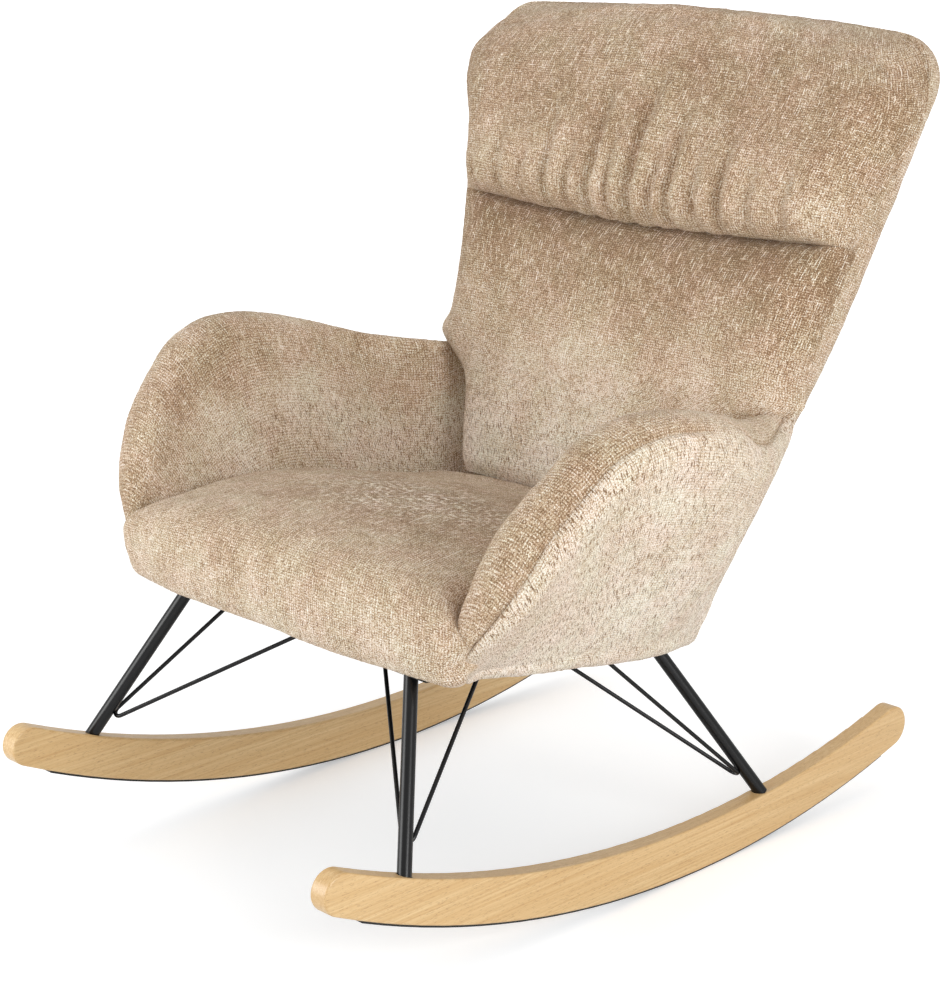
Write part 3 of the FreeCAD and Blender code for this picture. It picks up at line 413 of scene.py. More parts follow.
def skin(name, grid, nap_and_painted_light, across_first=False, rub=0.0):
    """One closed piece from a grid in millimetres: its columns close on themselves, each end row by a fan.

    Its UV map, in metres, follows the mean lengths of rows and columns, with its second axis up the fabric.
    Its attribute of pile and painted light holds painted light and shade over the pile's level, from 0 where
    shade is painted dark to 1 and more where light is painted on. Its attribute rub says how much light
    scribble use has rubbed into the pile."""
    rows, columns = grid.shape[:2]
    points = grid.reshape(-1, 3)
    poles = np.array((grid[0].mean(axis=0), grid[-1].mean(axis=0)))
    vertices = np.vstack((points, poles)) * MM
    row, column = np.meshgrid(np.arange(rows - 1), np.arange(columns), indexing="ij")
    ahead = (column + 1) % columns
    quads = np.stack((row * columns + column, row * columns + ahead, (row + 1) * columns + ahead,
                      (row + 1) * columns + column), axis=-1).reshape(-1, 4)
    first = np.arange(columns)
    after = (first + 1) % columns
    last_row = (rows - 1) * columns
    start_fan = np.stack((after, first, np.full(columns, rows * columns)), axis=-1)
    end_fan = np.stack((last_row + first, last_row + after, np.full(columns, rows * columns + 1)), axis=-1)
    fans = np.vstack((start_fan, end_fan))
    mesh = bpy.data.meshes.new(name)
    mesh.from_pydata(vertices.tolist(), [], quads.tolist() + fans.tolist())
    steps_along = np.linalg.norm(np.diff(grid, axis=0), axis=2).mean(axis=1)
    steps_around = np.linalg.norm(np.roll(grid, -1, axis=1) - grid, axis=2).mean(axis=0)
    along = np.concatenate(([0.0], np.cumsum(steps_along))) * MM
    around = np.concatenate(([0.0], np.cumsum(steps_around))) * MM
    corner_rows = np.stack((row, row, row + 1, row + 1), axis=-1).reshape(-1)
    corner_columns = np.stack((column, column + 1, column + 1, column), axis=-1).reshape(-1)
    quad_uv = np.stack((around[corner_columns], along[corner_rows]), axis=-1)
    if across_first:
        quad_uv = quad_uv[:, ::-1]
    fan_uv = np.zeros((fans.size, 2))
    weave = mesh.uv_layers.new(name="weave")
    weave.data.foreach_set("uv", np.vstack((quad_uv, fan_uv)).ravel())
    for attribute, values in (("nap_and_painted_light", nap_and_painted_light), ("rub", rub)):
        spread = np.broadcast_to(values, grid.shape[:2])
        levels = np.concatenate((spread.ravel(), (spread[0].mean(), spread[-1].mean())))
        mesh.attributes.new(attribute, "FLOAT", "POINT").data.foreach_set("value", levels)
    mesh.polygons.foreach_set("use_smooth", np.ones(len(mesh.polygons), bool))
    body = bmesh.new()
    body.from_mesh(mesh)
    bmesh.ops.remove_doubles(body, verts=body.verts, dist=MERGE_DISTANCE * MM)
    bmesh.ops.dissolve_degenerate(body, edges=body.edges, dist=SLIVER_LENGTH * MM)
    bmesh.ops.recalc_face_normals(body, faces=body.faces)
    for edge in body.edges:
        edge.smooth = edge.calc_face_angle(0.0) < SHARP_EDGE
    body.to_mesh(mesh)
    body.free()
    piece = bpy.data.objects.new(name, mesh)
    bpy.context.scene.collection.objects.link(piece)
    return piece


def underside(depth):
    """Height of the seat's tilted underside at a depth."""
    return UNDERSIDE - SEAT_SLOPE * depth


def on_back(across, behind, rise):
    """Points of the back's frame, tilted into the part's frame."""
    depth = BACK_Y + behind * math.cos(BACK_LEAN) + rise * math.sin(BACK_LEAN)
    height = BACK_Z - behind * math.sin(BACK_LEAN) + rise * math.cos(BACK_LEAN)
    return np.stack((across, depth, height), axis=-1)


# Arms


def arm_loop(station):
    """One closed section of an arm in its own plane: sole, rounded foot, outer wall, rim and inner wall.

    The plane stands on the foot line and leans to the rim's middle. Both walls are tangents from the foot to
    the rim, and bulge a little."""
    rim_y, rim_z, spread, radius, foot_y, outer, inner = station
    foot = np.array((foot_y, underside(foot_y) - ARM_FOOT_DROP * ease(*ARM_FOOT_DROP_DEPTHS, foot_y)))
    lean = np.array((rim_y, rim_z)) - foot
    height = np.linalg.norm(lean)
    lean /= height
    turn = min(ARM_FOOT_ROUND, height * ARM_FOOT_ROUND_SHARE)

    def touch(start, side):
        """Angle on the rim's circle where a straight line from a point touches it, outside or inside."""
        across = np.array((spread, height)) - start
        reach = np.linalg.norm(across)
        swing = math.asin(min(radius / reach, STEEPEST_TOUCH_SHARE))
        return math.atan2(across[1], across[0]) - side * swing - side * math.pi / 2

    start_angle = touch(np.array((outer, turn)), 1)
    end_angle = touch(np.array((inner, 0.0)), -1)
    angles = np.linspace(start_angle, end_angle, RIM_COLUMNS)
    rim_line = np.stack((spread + radius * np.cos(angles), height + radius * np.sin(angles)), axis=-1)
    foot_angles = np.linspace(-math.pi / 2, 0, FOOT_COLUMNS, endpoint=False)
    foot_round = turn * np.stack((np.cos(foot_angles), np.sin(foot_angles)), axis=-1)
    foot_line = foot_round + (outer - turn, turn)
    sole = np.linspace((inner, 0.0), (outer - turn, 0.0), SOLE_COLUMNS, endpoint=False)
    wall_share = np.linspace(0, 1, WALL_COLUMNS, endpoint=False)[:, None]
    bulge = np.sin(np.pi * wall_share[:, 0]) * ARM_BULGE
    outer_wall = (outer, turn) + (rim_line[0] - (outer, turn)) * wall_share
    outer_wall[:, 0] += bulge
    inner_wall = rim_line[-1] + (np.array((inner, 0.0)) - rim_line[-1]) * wall_share
    inner_wall[:, 0] -= bulge * INNER_BULGE_SHARE
    flat = np.vstack((sole, foot_line, outer_wall, rim_line, inner_wall))
    return np.stack((flat[:, 0], foot[0] + lean[0] * flat[:, 1], foot[1] + lean[1] * flat[:, 1]), axis=-1)


def make_arm(word, side):
    """A padded arm: loops along stations from the front's foot over the crest to the back.

    A crease runs up between its outer panel and its rim and fades over the crest. Behind, where the arm meets
    the back, a fold dips outwards from the crest and returns, and the fabric inside it puffs up."""
    knots = np.linspace(0, 1, len(ARM_STATIONS))
    draft = through(knots, ARM_STATIONS, np.linspace(0, 1, ARM_DRAFT_ROWS))
    stations = through(knots, ARM_STATIONS, even_steps(draft[:, :2], ARM_ROWS))
    grid = np.array([arm_loop(station) for station in stations])
    columns = np.arange(grid.shape[1])[None, :]
    from_crease = columns - CREASE_COLUMN
    from_crest = columns - CREST_COLUMN
    way = np.linspace(0, 1, len(grid))[:, None]

    # Crease, fold and puff
    creased = 1 - ease(*CREASE_FADE_SHARES, way)
    crease = CREASE_DEPTH * bell(from_crease, 0.0, CREASE_WIDTH) * creased
    fold_share = np.clip((way - FOLD_START_SHARE) / FOLD_LENGTH_SHARE, 0, 1)
    folded = np.sin(math.pi * fold_share)
    fold_dip = FOLD_DIP * np.sin(math.pi * fold_share**FOLD_DIP_SKEW) ** FOLD_DIP_POWER
    from_fold = from_crest - (FOLD_COLUMN - fold_dip)
    fold = FOLD_DEPTH * np.sqrt(folded) * bell(from_fold, 0.0, FOLD_WIDTH)
    puff = PUFF_HEIGHT * np.sin(math.pi * fold_share**PUFF_SKEW) * bell(from_crest, PUFF_COLUMN, PUFF_WIDTH)

    # Painted shade darkens the rim, the crease, the crest and the fold; painted light lightens the inside and
    # the foot
    rim = RIM_PAINTED_SHADE * ease(*RIM_SHADE_FROM_CREASE, from_crease)
    line = CREASE_PAINTED_SHADE * bell(from_crease, CREASE_SHADE_COLUMN, CREASE_SHADE_WIDTH)
    crest = CREST_PAINTED_SHADE * ease(CREST_SHADE_FROM_CREASE, INNER_COLUMN - CREASE_COLUMN, from_crease)
    inside = INNER_PAINTED_LIGHT * ease(*INNER_LIGHT_FROM_INNER, columns - INNER_COLUMN)
    foot = FOOT_PAINTED_LIGHT * ease(*FOOT_LIGHT_COLUMNS, columns)
    # The pile's level with painted light and shade on it, kept in the attribute that the fabric reads
    nap_and_painted_light = ARM_NAP_AND_PAINTED_LIGHT + (inside + foot) - (rim + line) * creased - crest * (1 - creased)
    nap_and_painted_light -= FOLD_PAINTED_SHADE * folded * ease(*FOLD_SHADE_FROM_FOLD, from_fold) * ease(*FOLD_SHADE_FROM_CREST, from_crest)
    nap_and_painted_light -= FOLD_LINE_PAINTED_SHADE * np.sqrt(folded) * bell(from_fold, 0.0, FOLD_LINE_SHADE_WIDTH)

    normals = grid_normals(grid)
    normals *= np.sign(normals[:, CREASE_COLUMN, 0].mean())
    grid = grid - normals * (crease + fold - puff)[:, :, None]
    grid = softened(grid, ARM_SEED)
    grid[:, :, 0] *= side
    piece = skin(f"arm_{word}_cover", grid, nap_and_painted_light, across_first=True)
    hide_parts(f"arm_{word}")
    return piece


# Seat


def make_seat():
    """The seat: its profile carried across the chair, crowned, bowed at the nose and rolled in at both sides.

    Underneath, the profile goes back round the board, so the seat has the board's hollow in it."""
    knots = np.linspace(0, 1, len(SEAT_PROFILE))
    draft = through(knots, SEAT_PROFILE, np.linspace(0, 1, SEAT_DRAFT_POINTS))
    top = through(knots, SEAT_PROFILE, even_steps(draft[:, :2], SEAT_TOP_POINTS))
    slope = math.atan(SEAT_SLOPE)
    toe = np.linspace((BOARD_FRONT, 0.0), (BOARD_FRONT, BOARD_LIFT), SEAT_TOE_POINTS, endpoint=False)
    over_board = np.linspace((BOARD_FRONT, BOARD_LIFT), (BOARD_BACK, BOARD_LIFT), SEAT_HOLLOW_POINTS)
    depth, lift = np.vstack((toe, over_board)).T
    under_y = depth * math.cos(slope) + lift * math.sin(slope)
    under_z = UNDERSIDE - depth * math.sin(slope) + lift * math.cos(slope)
    under_halves = level_at(SEAT_HOLLOW_HALVES, under_y)
    hollow = np.stack((under_y, under_z, under_halves, np.zeros_like(depth)), axis=-1)
    profile_y, profile_z, halves, crown_shares = np.vstack((top, hollow)).T

    across = crowded_steps(SEAT_COLUMNS, SEAT_CROWDING_SHARE)[:, None]
    reach = np.abs(across)
    bow = SEAT_BOW_SHARE * reach**SEAT_BOW_POWER * ease(*SEAT_BOW_DEPTHS, profile_y)
    crown_across = SEAT_CROWN_MIDDLE_SHARE - SEAT_CROWN_FALL_SHARE * reach**SEAT_CROWN_POWER
    crown = SEAT_CROWN * crown_across * crown_shares
    edge = np.clip((reach - (1 - SEAT_EDGE_SHARE)) / SEAT_EDGE_SHARE, 0, 1)
    roll = SEAT_EDGE_ROLL * (1 - np.sqrt(1 - edge**2))
    flat = np.stack((profile_y * (1 - bow), profile_z + crown), axis=-1)
    core_y = np.clip(profile_y, *SEAT_CORE_DEPTHS)
    to_core = np.stack((core_y, underside(core_y) + SEAT_CORE_LIFT), axis=-1) - flat
    length = np.linalg.norm(to_core, axis=-1)
    rolled = flat + to_core * (np.minimum(roll, length) / np.maximum(length, TINY))[:, :, None]
    grid = np.concatenate(((across * halves)[:, :, None], rolled), axis=-1)

    # Painted light: the seat's level, and more on the nose's front lower down
    nap_and_painted_light = SEAT_NAP_AND_PAINTED_LIGHT + NOSE_PAINTED_LIGHT * ease(*NOSE_LIGHT_HEIGHTS, profile_z) * ease(*NOSE_LIGHT_DEPTHS, profile_y)
    rub = bell(grid[:, :, 0], RUB_X, RUB_ACROSS) * bell(grid[:, :, 1], RUB_Y, RUB_ALONG)
    piece = skin("seat_cover", softened(grid, SEAT_SEED), nap_and_painted_light[None, :], across_first=True, rub=rub)
    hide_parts("seat_cushion")
    return piece


# Back


def back_half(rise):
    """Half width of the back at a rise, before its corners are rounded."""
    share = (rise - BACK_FOOT) / (BACK_TOP - BACK_FOOT)
    return BACK_FOOT_HALF + share * (BACK_TOP_HALF - BACK_FOOT_HALF)


def corner_draw(rise, low, high, low_radius, high_radius):
    """How far round corners draw the sides in near the low and the high end of a piece."""
    into_top = np.clip(rise - (high - high_radius), 0, high_radius)
    into_foot = np.clip((low + low_radius) - rise, 0, low_radius)
    top_draw = high_radius - np.sqrt(high_radius**2 - into_top**2)
    foot_draw = low_radius - np.sqrt(low_radius**2 - into_foot**2)
    return top_draw + foot_draw


def crowded_rises(low, high, count):
    """Rises from low to high that crowd towards both ends, where the pads turn round."""
    return low + (high - low) * (crowded_steps(count, PAD_CROWDING_SHARE) + 1) / 2


def seam_sag(share, front_depth, rise):
    """How far the seam between both pads hangs down: most in the front's middle, nothing at the sides."""
    near = ease(SEAM_SAG_REACH, 0.0, np.abs(rise - SEAM_RISE))
    return SEAM_SAG * (1 - share**2) * near * np.clip(-front_depth / SEAM_SAG_DEPTH, 0, 1)


def pad_piece(name, rises, half, front, side, rear, nap_and_painted_light, columns, shaping=None, rub=0.0):
    """A pad of the back: a front sheet and a rear sheet over the same outline, as loops up the back.

    Each sheet's depth is a superellipse across times its depth at that rise, so the edges are round. Near the
    edges the front's depth goes over from its middle value to its side value, so a seam's valley fades there.
    Near the outline the unevenness moves straight outwards, so pads and shell stay flush with each other."""
    share = crowded_steps(columns, PAD_CROWDING_SHARE)
    across = half[:, None] * share[None, :]
    rise_grid = np.repeat(rises[:, None], columns, axis=1)
    round_front = ((1 - np.abs(share) ** FRONT_POWER) ** ROUNDING_POWER)[None, :]
    rear_power = REAR_LOW_POWER + REAR_POWER_GAIN * ease(*REAR_POWER_RISES, rises)[:, None]
    round_rear = (1 - np.abs(share)[None, :] ** rear_power) ** ROUNDING_POWER
    to_side = ease(*SIDE_SHARES, np.abs(share))[None, :]
    front_depth = -(front[:, None] * (1 - to_side) + side[:, None] * to_side) * round_front
    if shaping is not None:
        front_depth = front_depth + shaping(across, rise_grid) * round_front
    rear_depth = rear[:, None] * round_rear
    crown = BACK_CROWN * share[None, :] ** 2 * ease(BACK_TOP - BACK_CROWN_REACH, BACK_TOP, rise_grid)
    front_crown = crown * (1 + FRONT_CROWN_GAIN * np.clip(-front_depth / FRONT_CROWN_DEPTH, 0, 1))
    rear_crown = crown * (1 - REAR_CROWN_LOSS_SHARE * np.clip(rear_depth / REAR_CROWN_DEPTH, 0, 1))
    sagged = seam_sag(share[None, :], front_depth, rise_grid)
    front_sheet = on_back(across, front_depth, rise_grid - (front_crown + sagged))
    rear_sheet = on_back(across, rear_depth, rise_grid - rear_crown)
    grid = np.concatenate((front_sheet, rear_sheet[:, ::-1]), axis=1)
    normals = grid_normals(grid)
    around = np.concatenate((share, share[::-1]))
    to_edge = (np.abs(around) ** EDGE_POWER)[None, :, None]
    normals = normals * (1 - to_edge) + to_edge * np.sign(around)[None, :, None] * np.array((1.0, 0.0, 0.0))
    to_top = ease(BACK_TOP - TOP_REACH, BACK_TOP, rises)[:, None, None]
    normals = normals * (1 - to_top) + to_top * np.array((0.0, math.sin(BACK_LEAN), math.cos(BACK_LEAN)))
    return skin(name, softened(grid, BACK_SEED, normals), nap_and_painted_light[:, None], rub=rub)


def gathers(across, rise):
    """Depth of the gathers over the seam: narrow valleys that fade up the pillow, deeper near the seam."""
    up = rise - SEAM_RISE
    depth = np.zeros_like(across)
    for place, length, width, deep, slant in GATHERS:
        aside = across - place - slant * up
        fade = 1 - ease(GATHER_FADE_SHARES[0] * length, GATHER_FADE_SHARES[1] * length, up)
        valley = bell(aside, 0.0, VALLEY_WIDTH_SHARE * width)
        ridge = bell(aside, RIDGE_PLACE_SHARE * width, RIDGE_WIDTH_SHARE * width)
        depth += deep * fade * (VALLEY_DEPTH_SHARE * valley - RIDGE_HEIGHT_SHARE * ridge)
    return depth * ease(*GATHER_START, up)


def make_head_pillow():
    """The head pillow: full over its seam, thinner to the top, gathered along the seam."""
    rises = crowded_rises(SEAM_RISE, BACK_TOP, PILLOW_ROWS)
    share = (rises - SEAM_RISE) / (BACK_TOP - SEAM_RISE)
    front = curve_at(PILLOW_FRONT, share)
    side = curve_at(PILLOW_SIDE, share)
    half = back_half(rises) - corner_draw(rises, SEAM_RISE, BACK_TOP, 0.0, PILLOW_CORNER)
    half += PILLOW_WIDER * bell(rises, PILLOW_WIDER_RISE, PILLOW_WIDER_REACH)
    rear = np.full_like(rises, PAD_REAR)
    # Painted light and shade up the pillow
    nap_and_painted_light = level_at(PILLOW_PAINTED_LIGHT_AND_SHADE, rises)
    rub = PILLOW_RUB * ease(*PILLOW_RUB_RISES, rises)[:, None]
    piece = pad_piece("head_pillow_cover", rises, half, front, side, rear, nap_and_painted_light, PILLOW_COLUMNS, gathers, rub)
    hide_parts("head_pillow")
    return piece


def make_lower_back():
    """The lower back cushion: a flat crown between its foot on the seat and the head pillow's seam."""
    high = SEAM_RISE - SEAM_GAP
    rises = crowded_rises(LOWER_FOOT, high, LOWER_ROWS)
    share = (rises - LOWER_FOOT) / (high - LOWER_FOOT)
    front = curve_at(LOWER_FRONT, share)
    side = curve_at(LOWER_SIDE, share)
    widest = back_half(rises) + LOWER_OVERHANG * (1 - ease(*LOWER_OVERHANG_RISES, rises))
    half = np.minimum(curve_at(LOWER_HALF, share), widest)
    half += LOWER_WIDER * bell(rises, LOWER_WIDER_RISE, LOWER_WIDER_REACH)
    rear = np.full_like(rises, PAD_REAR)
    # Painted light towards the foot, painted shade under the seam
    nap_and_painted_light = level_at(LOWER_PAINTED_LIGHT_AND_SHADE, rises)
    rub = LOWER_RUB * ease(*LOWER_RUB_RISES, rises)[:, None]
    piece = pad_piece("lower_back_cover", rises, half, front, side, rear, nap_and_painted_light, LOWER_COLUMNS, rub=rub)
    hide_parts("lower_back_cushion")
    return piece


def make_rear_cover():
    """The rear shell: a shallow padded panel with round edges behind both pads."""
    rises = crowded_rises(BACK_FOOT, BACK_TOP, REAR_ROWS)
    share = (rises - BACK_FOOT) / (BACK_TOP - BACK_FOOT)
    half = back_half(rises) - corner_draw(rises, BACK_FOOT, BACK_TOP, REAR_FOOT_CORNER, BACK_CORNER)
    half -= REAR_INSET * (1 - ease(*REAR_INSET_SHARES, share))
    front = np.zeros_like(rises)
    rear = curve_at(REAR_DEPTH, share)
    # The rear's pile level with painted light, even all over
    nap_and_painted_light = np.full_like(rises, REAR_NAP_AND_PAINTED_LIGHT)
    piece = pad_piece("rear_cover_cloth", rises, half, front, front, rear, nap_and_painted_light, REAR_COLUMNS)
    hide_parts("rear_cover")
    return piece


# Finishes: a pattern's scale is how many of it lie in a metre, one over its real size

# Sockets of a Mix node that mixes colours
MIX_FIRST = 6
MIX_SECOND = 7
MIX_COLOUR = 2

# Noise patterns of the fabric: what each lies on, how many lie in a metre along each axis, turn of the noise
# under it in degrees, detail, roughness, and the levels between which it goes from 0 to 1. A tuft is 1.2 mm
# wide, a dark gap 1.3 by 10 mm, a streak of painted sheen 1.4 by 20 mm, a thread's end 10 by 2 mm, a cross
# thread 5 by
# 1.5 mm, a scribble 7 mm, a blotch 9 mm, a cloud 55 by 110 mm and a patch of dye 50 mm. Tufts, gaps and
# sheen streaks are drawn coarser than real ones, so that they show.
FABRIC_PATTERNS = {
    "tuft": ("piece", (820.0, 820.0, 820.0), 0.0, 1.0, 0.55, None),
    "gap": ("cloth", (760.0, 100.0, 1.0), 15.0, 2.0, 0.55, (0.555, 0.64)),
    "painted_sheen_streak": ("cloth", (720.0, 50.0, 1.0), -26.0, 2.0, 0.55, (0.57, 0.66)),
    "thread_end": ("cloth", (95.0, 520.0, 1.0), 17.0, 2.0, 0.55, (0.6, 0.68)),
    "cross": ("cloth", (200.0, 650.0, 1.0), 4.0, 2.0, 0.55, None),
    "scribble": ("piece", (150.0, 150.0, 150.0), 0.0, 3.0, 0.7, (0.5, 0.66)),
    "blotch": ("piece", (110.0, 110.0, 110.0), 0.0, 3.0, 0.7, None),
    "cloud": ("piece", (18.0, 18.0, 9.0), 0.0, 3.0, 0.6, None),
    "dye": ("piece", (20.0, 20.0, 20.0), 0.0, 3.0, 0.6, (0.35, 0.65)),
}
# What each pattern, or product of two, adds to the fabric's level of lightness
FABRIC_LEVEL = -1.73
FABRIC_AMOUNTS = (
    (("weave",), 0.45),
    (("tuft",), 2.15),
    (("gap",), -0.12),
    (("gap", "painted_light_share"), -1.0),
    # Painted sheen streaks: fainter where more light is painted on, stronger where rubbed
    (("painted_sheen_streak",), 0.45),
    (("painted_sheen_streak", "nap_and_painted_light"), -0.45),
    (("painted_sheen_streak", "rub"), 0.55),
    (("scribble", "rubbed"), 0.95),
    (("rub",), -0.27),
    (("thread_end",), 0.5),
    (("thread_end", "nap_and_painted_light"), -0.6),
    (("cross",), 0.5),
    (("blotch",), 0.5),
    (("cloud",), 0.55),
    # Painted light and shade that each piece carries
    (("nap_and_painted_light",), 0.58),
)
# Levels of painted light past which the gaps darken, and of rubbing past which scribbles show
PAINTED_LIGHT_LEVELS = (0.5, 0.95)
RUBBED_PILE = (0.45, 1.0)
GAP_HEIGHT_SHARE = -0.7
TUFT_HEIGHT_SHARE = 1.6
PILE_HEIGHT = 1.4
FABRIC_COLOURS = ((0.0, "7E6349"), (0.3, "A98C6E"), (0.5, "C6AD90"), (0.72, "DECDB7"), (1.0, "F5EEE3"))

# Patterns of the wood, laid as the fabric's are: grain runs along the rocker in streaks 2 mm wide and 170 mm
# long, over bands 17 mm wide and 400 mm long, and flecks are rays cut across, 0.7 mm wide and 6 mm long
BEECH_PATTERNS = {
    "grain": ("piece", (500.0, 6.0, 500.0), 0.0, 4.0, 0.6, None),
    "band": ("piece", (60.0, 2.5, 60.0), 0.0, 2.0, 0.5, None),
    "fleck": ("piece", (1500.0, 180.0, 1500.0), 0.0, 1.0, 0.5, None),
}


def colour(code):
    """An sRGB hex colour as linear red, green, blue and alpha, by the sRGB standard's own curve."""
    channels = [int(code[start:start + 2], 16) / 255 for start in (0, 2, 4)]
    linear = [value / 12.92 if value <= 0.04045 else ((value + 0.055) / 1.055) ** 2.4 for value in channels]
    return (*linear, 1.0)


def add_node(tree, kind, inputs=None, **settings):
    """Adds one node: settings are its own values, inputs the values or the links of its sockets."""
    node = tree.nodes.new(kind)
    for name, value in settings.items():
        setattr(node, name, value)
    for key, value in (inputs or {}).items():
        if isinstance(value, bpy.types.NodeSocket):
            tree.links.new(value, node.inputs[key])
        else:
            node.inputs[key].default_value = value
    return node


def new_material(name):
    """An empty node material, its tree and the coordinates of the piece that wears it."""
    made = bpy.data.materials.new(name)
    made.use_nodes = True
    tree = made.node_tree
    tree.nodes.clear()
    return made, tree, add_node(tree, "ShaderNodeTexCoord").outputs["Object"]


def lay_patterns(tree, patterns, coordinates):
    """Noise patterns by name, each laid on its coordinates, and cut to its levels where it has them."""
    laid = {}
    for name, (lies_on, counts, turn, detail, roughness, levels) in patterns.items():
        placed = add_node(tree, "ShaderNodeMapping", {"Vector": coordinates[lies_on], "Scale": counts,
                                                      "Rotation": (0.0, 0.0, math.radians(turn))})
        noise = add_node(tree, "ShaderNodeTexNoise", {"Vector": placed.outputs[0], "Scale": 1.0,
                                                      "Detail": detail, "Roughness": roughness})
        laid[name] = noise.outputs["Fac"]
        if levels:
            cut = add_node(tree, "ShaderNodeMapRange", {"Value": laid[name], "From Min": levels[0],
                                                        "From Max": levels[1]})
            laid[name] = cut.outputs[0]
    return laid


def chenille():
    """Sand chenille: soft cut-pile yarn in a crossed weave, mottled, with short dark gaps, light rubs,
    painted sheen streaks and the painted light and shade each piece carries.
    """
    made, tree, place = new_material("sand_chenille")
    cloth = add_node(tree, "ShaderNodeUVMap", uv_map="weave").outputs[0]
    laid = lay_patterns(tree, FABRIC_PATTERNS, {"piece": place, "cloth": cloth})

    # Threads 3 mm apart, drawn a little coarser than real ones so that they show
    thread = {"Vector": cloth, "Scale": 105.0, "Distortion": 3.0, "Detail": 2.0, "Detail Scale": 1.6}
    weft = add_node(tree, "ShaderNodeTexWave", thread, wave_type="BANDS", bands_direction="X").outputs["Fac"]
    warp = add_node(tree, "ShaderNodeTexWave", thread, wave_type="BANDS", bands_direction="Y").outputs["Fac"]
    laid["weave"] = add_node(tree, "ShaderNodeMath", {0: weft, 1: warp}, operation="MULTIPLY").outputs[0]
    # Each piece's attributes: painted light and shade over the pile's level, and rubbing
    for name, source, (low, high) in (("painted_light_share", "nap_and_painted_light", PAINTED_LIGHT_LEVELS), ("rubbed", "rub", RUBBED_PILE)):
        laid[source] = add_node(tree, "ShaderNodeAttribute", attribute_name=source).outputs["Fac"]
        cut = add_node(tree, "ShaderNodeMapRange", {"Value": laid[source], "From Min": low, "From Max": high})
        laid[name] = cut.outputs[0]

    level = FABRIC_LEVEL
    for names, amount in FABRIC_AMOUNTS:
        value = laid[names[0]]
        for name in names[1:]:
            value = add_node(tree, "ShaderNodeMath", {0: value, 1: laid[name]},
                             operation="MULTIPLY").outputs[0]
        level = add_node(tree, "ShaderNodeMath", {0: value, 1: amount, 2: level},
                         operation="MULTIPLY_ADD").outputs[0]
    ramp = add_node(tree, "ShaderNodeValToRGB", {"Fac": level})
    stops = ramp.color_ramp.elements
    while len(stops) < len(FABRIC_COLOURS):
        stops.new(FABRIC_COLOURS[len(stops)][0])
    for stop, (position, code) in zip(stops, FABRIC_COLOURS):
        stop.position = position
        stop.color = colour(code)
    tint = add_node(tree, "ShaderNodeMix", {
        0: laid["dye"], MIX_FIRST: colour("FFFBFC"), MIX_SECOND: colour("FBFEFB"),
    }, data_type="RGBA").outputs[MIX_COLOUR]
    dyed = add_node(tree, "ShaderNodeMix", {
        0: 1.0, MIX_FIRST: ramp.outputs[0], MIX_SECOND: tint,
    }, data_type="RGBA", blend_type="MULTIPLY").outputs[MIX_COLOUR]

    # Tufts stand higher than threads, and gaps lie low
    height = laid["weave"]
    for name, amount in (("gap", GAP_HEIGHT_SHARE), ("tuft", TUFT_HEIGHT_SHARE)):
        height = add_node(tree, "ShaderNodeMath", {0: laid[name], 1: amount, 2: height},
                          operation="MULTIPLY_ADD").outputs[0]
    bump = add_node(tree, "ShaderNodeBump", {"Height": height, "Strength": 0.6, "Distance": PILE_HEIGHT * MM})
    shader = add_node(tree, "ShaderNodeBsdfPrincipled", {
        "Base Color": dyed, "Roughness": 0.85, "Specular IOR Level": 0.2, "Normal": bump.outputs[0],
        "Sheen Weight": 0.18, "Sheen Roughness": 0.4, "Sheen Tint": colour("F7EFE2"),
    })
    add_node(tree, "ShaderNodeOutputMaterial", {"Surface": shader.outputs[0]})
    return made


def beech():
    """Steamed beech under clear lacquer: pale tan, fine long grain and short dark flecks, low gloss."""
    made, tree, place = new_material("lacquered_beech")
    laid = lay_patterns(tree, BEECH_PATTERNS, {"piece": place})
    streak = add_node(tree, "ShaderNodeMapRange", {
        "Value": laid["grain"], "From Min": 0.25, "From Max": 0.75,
    })
    ray = add_node(tree, "ShaderNodeMapRange", {
        "Value": laid["fleck"], "From Min": 0.60, "From Max": 0.72, "To Max": 0.5,
    })
    tone = colour("B0854B")
    for share, code in ((streak.outputs[0], "E4CD9F"), (laid["band"], "C8A26D"), (ray.outputs[0], "8A6339")):
        tone = add_node(tree, "ShaderNodeMix", {0: share, MIX_FIRST: tone, MIX_SECOND: colour(code)},
                        data_type="RGBA").outputs[MIX_COLOUR]
    bump = add_node(tree, "ShaderNodeBump", {"Height": laid["grain"], "Strength": 0.12, "Distance": 0.3 * MM})
    shader = add_node(tree, "ShaderNodeBsdfPrincipled", {
        "Base Color": tone, "Roughness": 0.38, "Normal": bump.outputs[0],
        "Coat Weight": 0.25, "Coat Roughness": 0.22,
    })
    add_node(tree, "ShaderNodeOutputMaterial", {"Surface": shader.outputs[0]})
    return made


def powder_coat():
    """Satin black powder coat on steel tube and rod: orange peel of 1.1 mm, tone drifting over 17 mm."""
    made, tree, place = new_material("black_powder_coat")
    peel = add_node(tree, "ShaderNodeTexNoise", {"Vector": place, "Scale": 900.0, "Detail": 1.0}).outputs[0]
    bump = add_node(tree, "ShaderNodeBump", {"Height": peel, "Strength": 0.15, "Distance": 0.2 * MM})
    drift = add_node(tree, "ShaderNodeTexNoise", {"Vector": place, "Scale": 60.0, "Detail": 3.0}).outputs[0]
    tone = add_node(tree, "ShaderNodeMix", {
        0: drift, MIX_FIRST: colour("09090A"), MIX_SECOND: colour("111112"),
    }, data_type="RGBA").outputs[MIX_COLOUR]
    shader = add_node(tree, "ShaderNodeBsdfPrincipled", {
        "Base Color": tone, "Roughness": 0.27, "Normal": bump.outputs[0], "Specular IOR Level": 0.35,
    })
    add_node(tree, "ShaderNodeOutputMaterial", {"Surface": shader.outputs[0]})
    return made


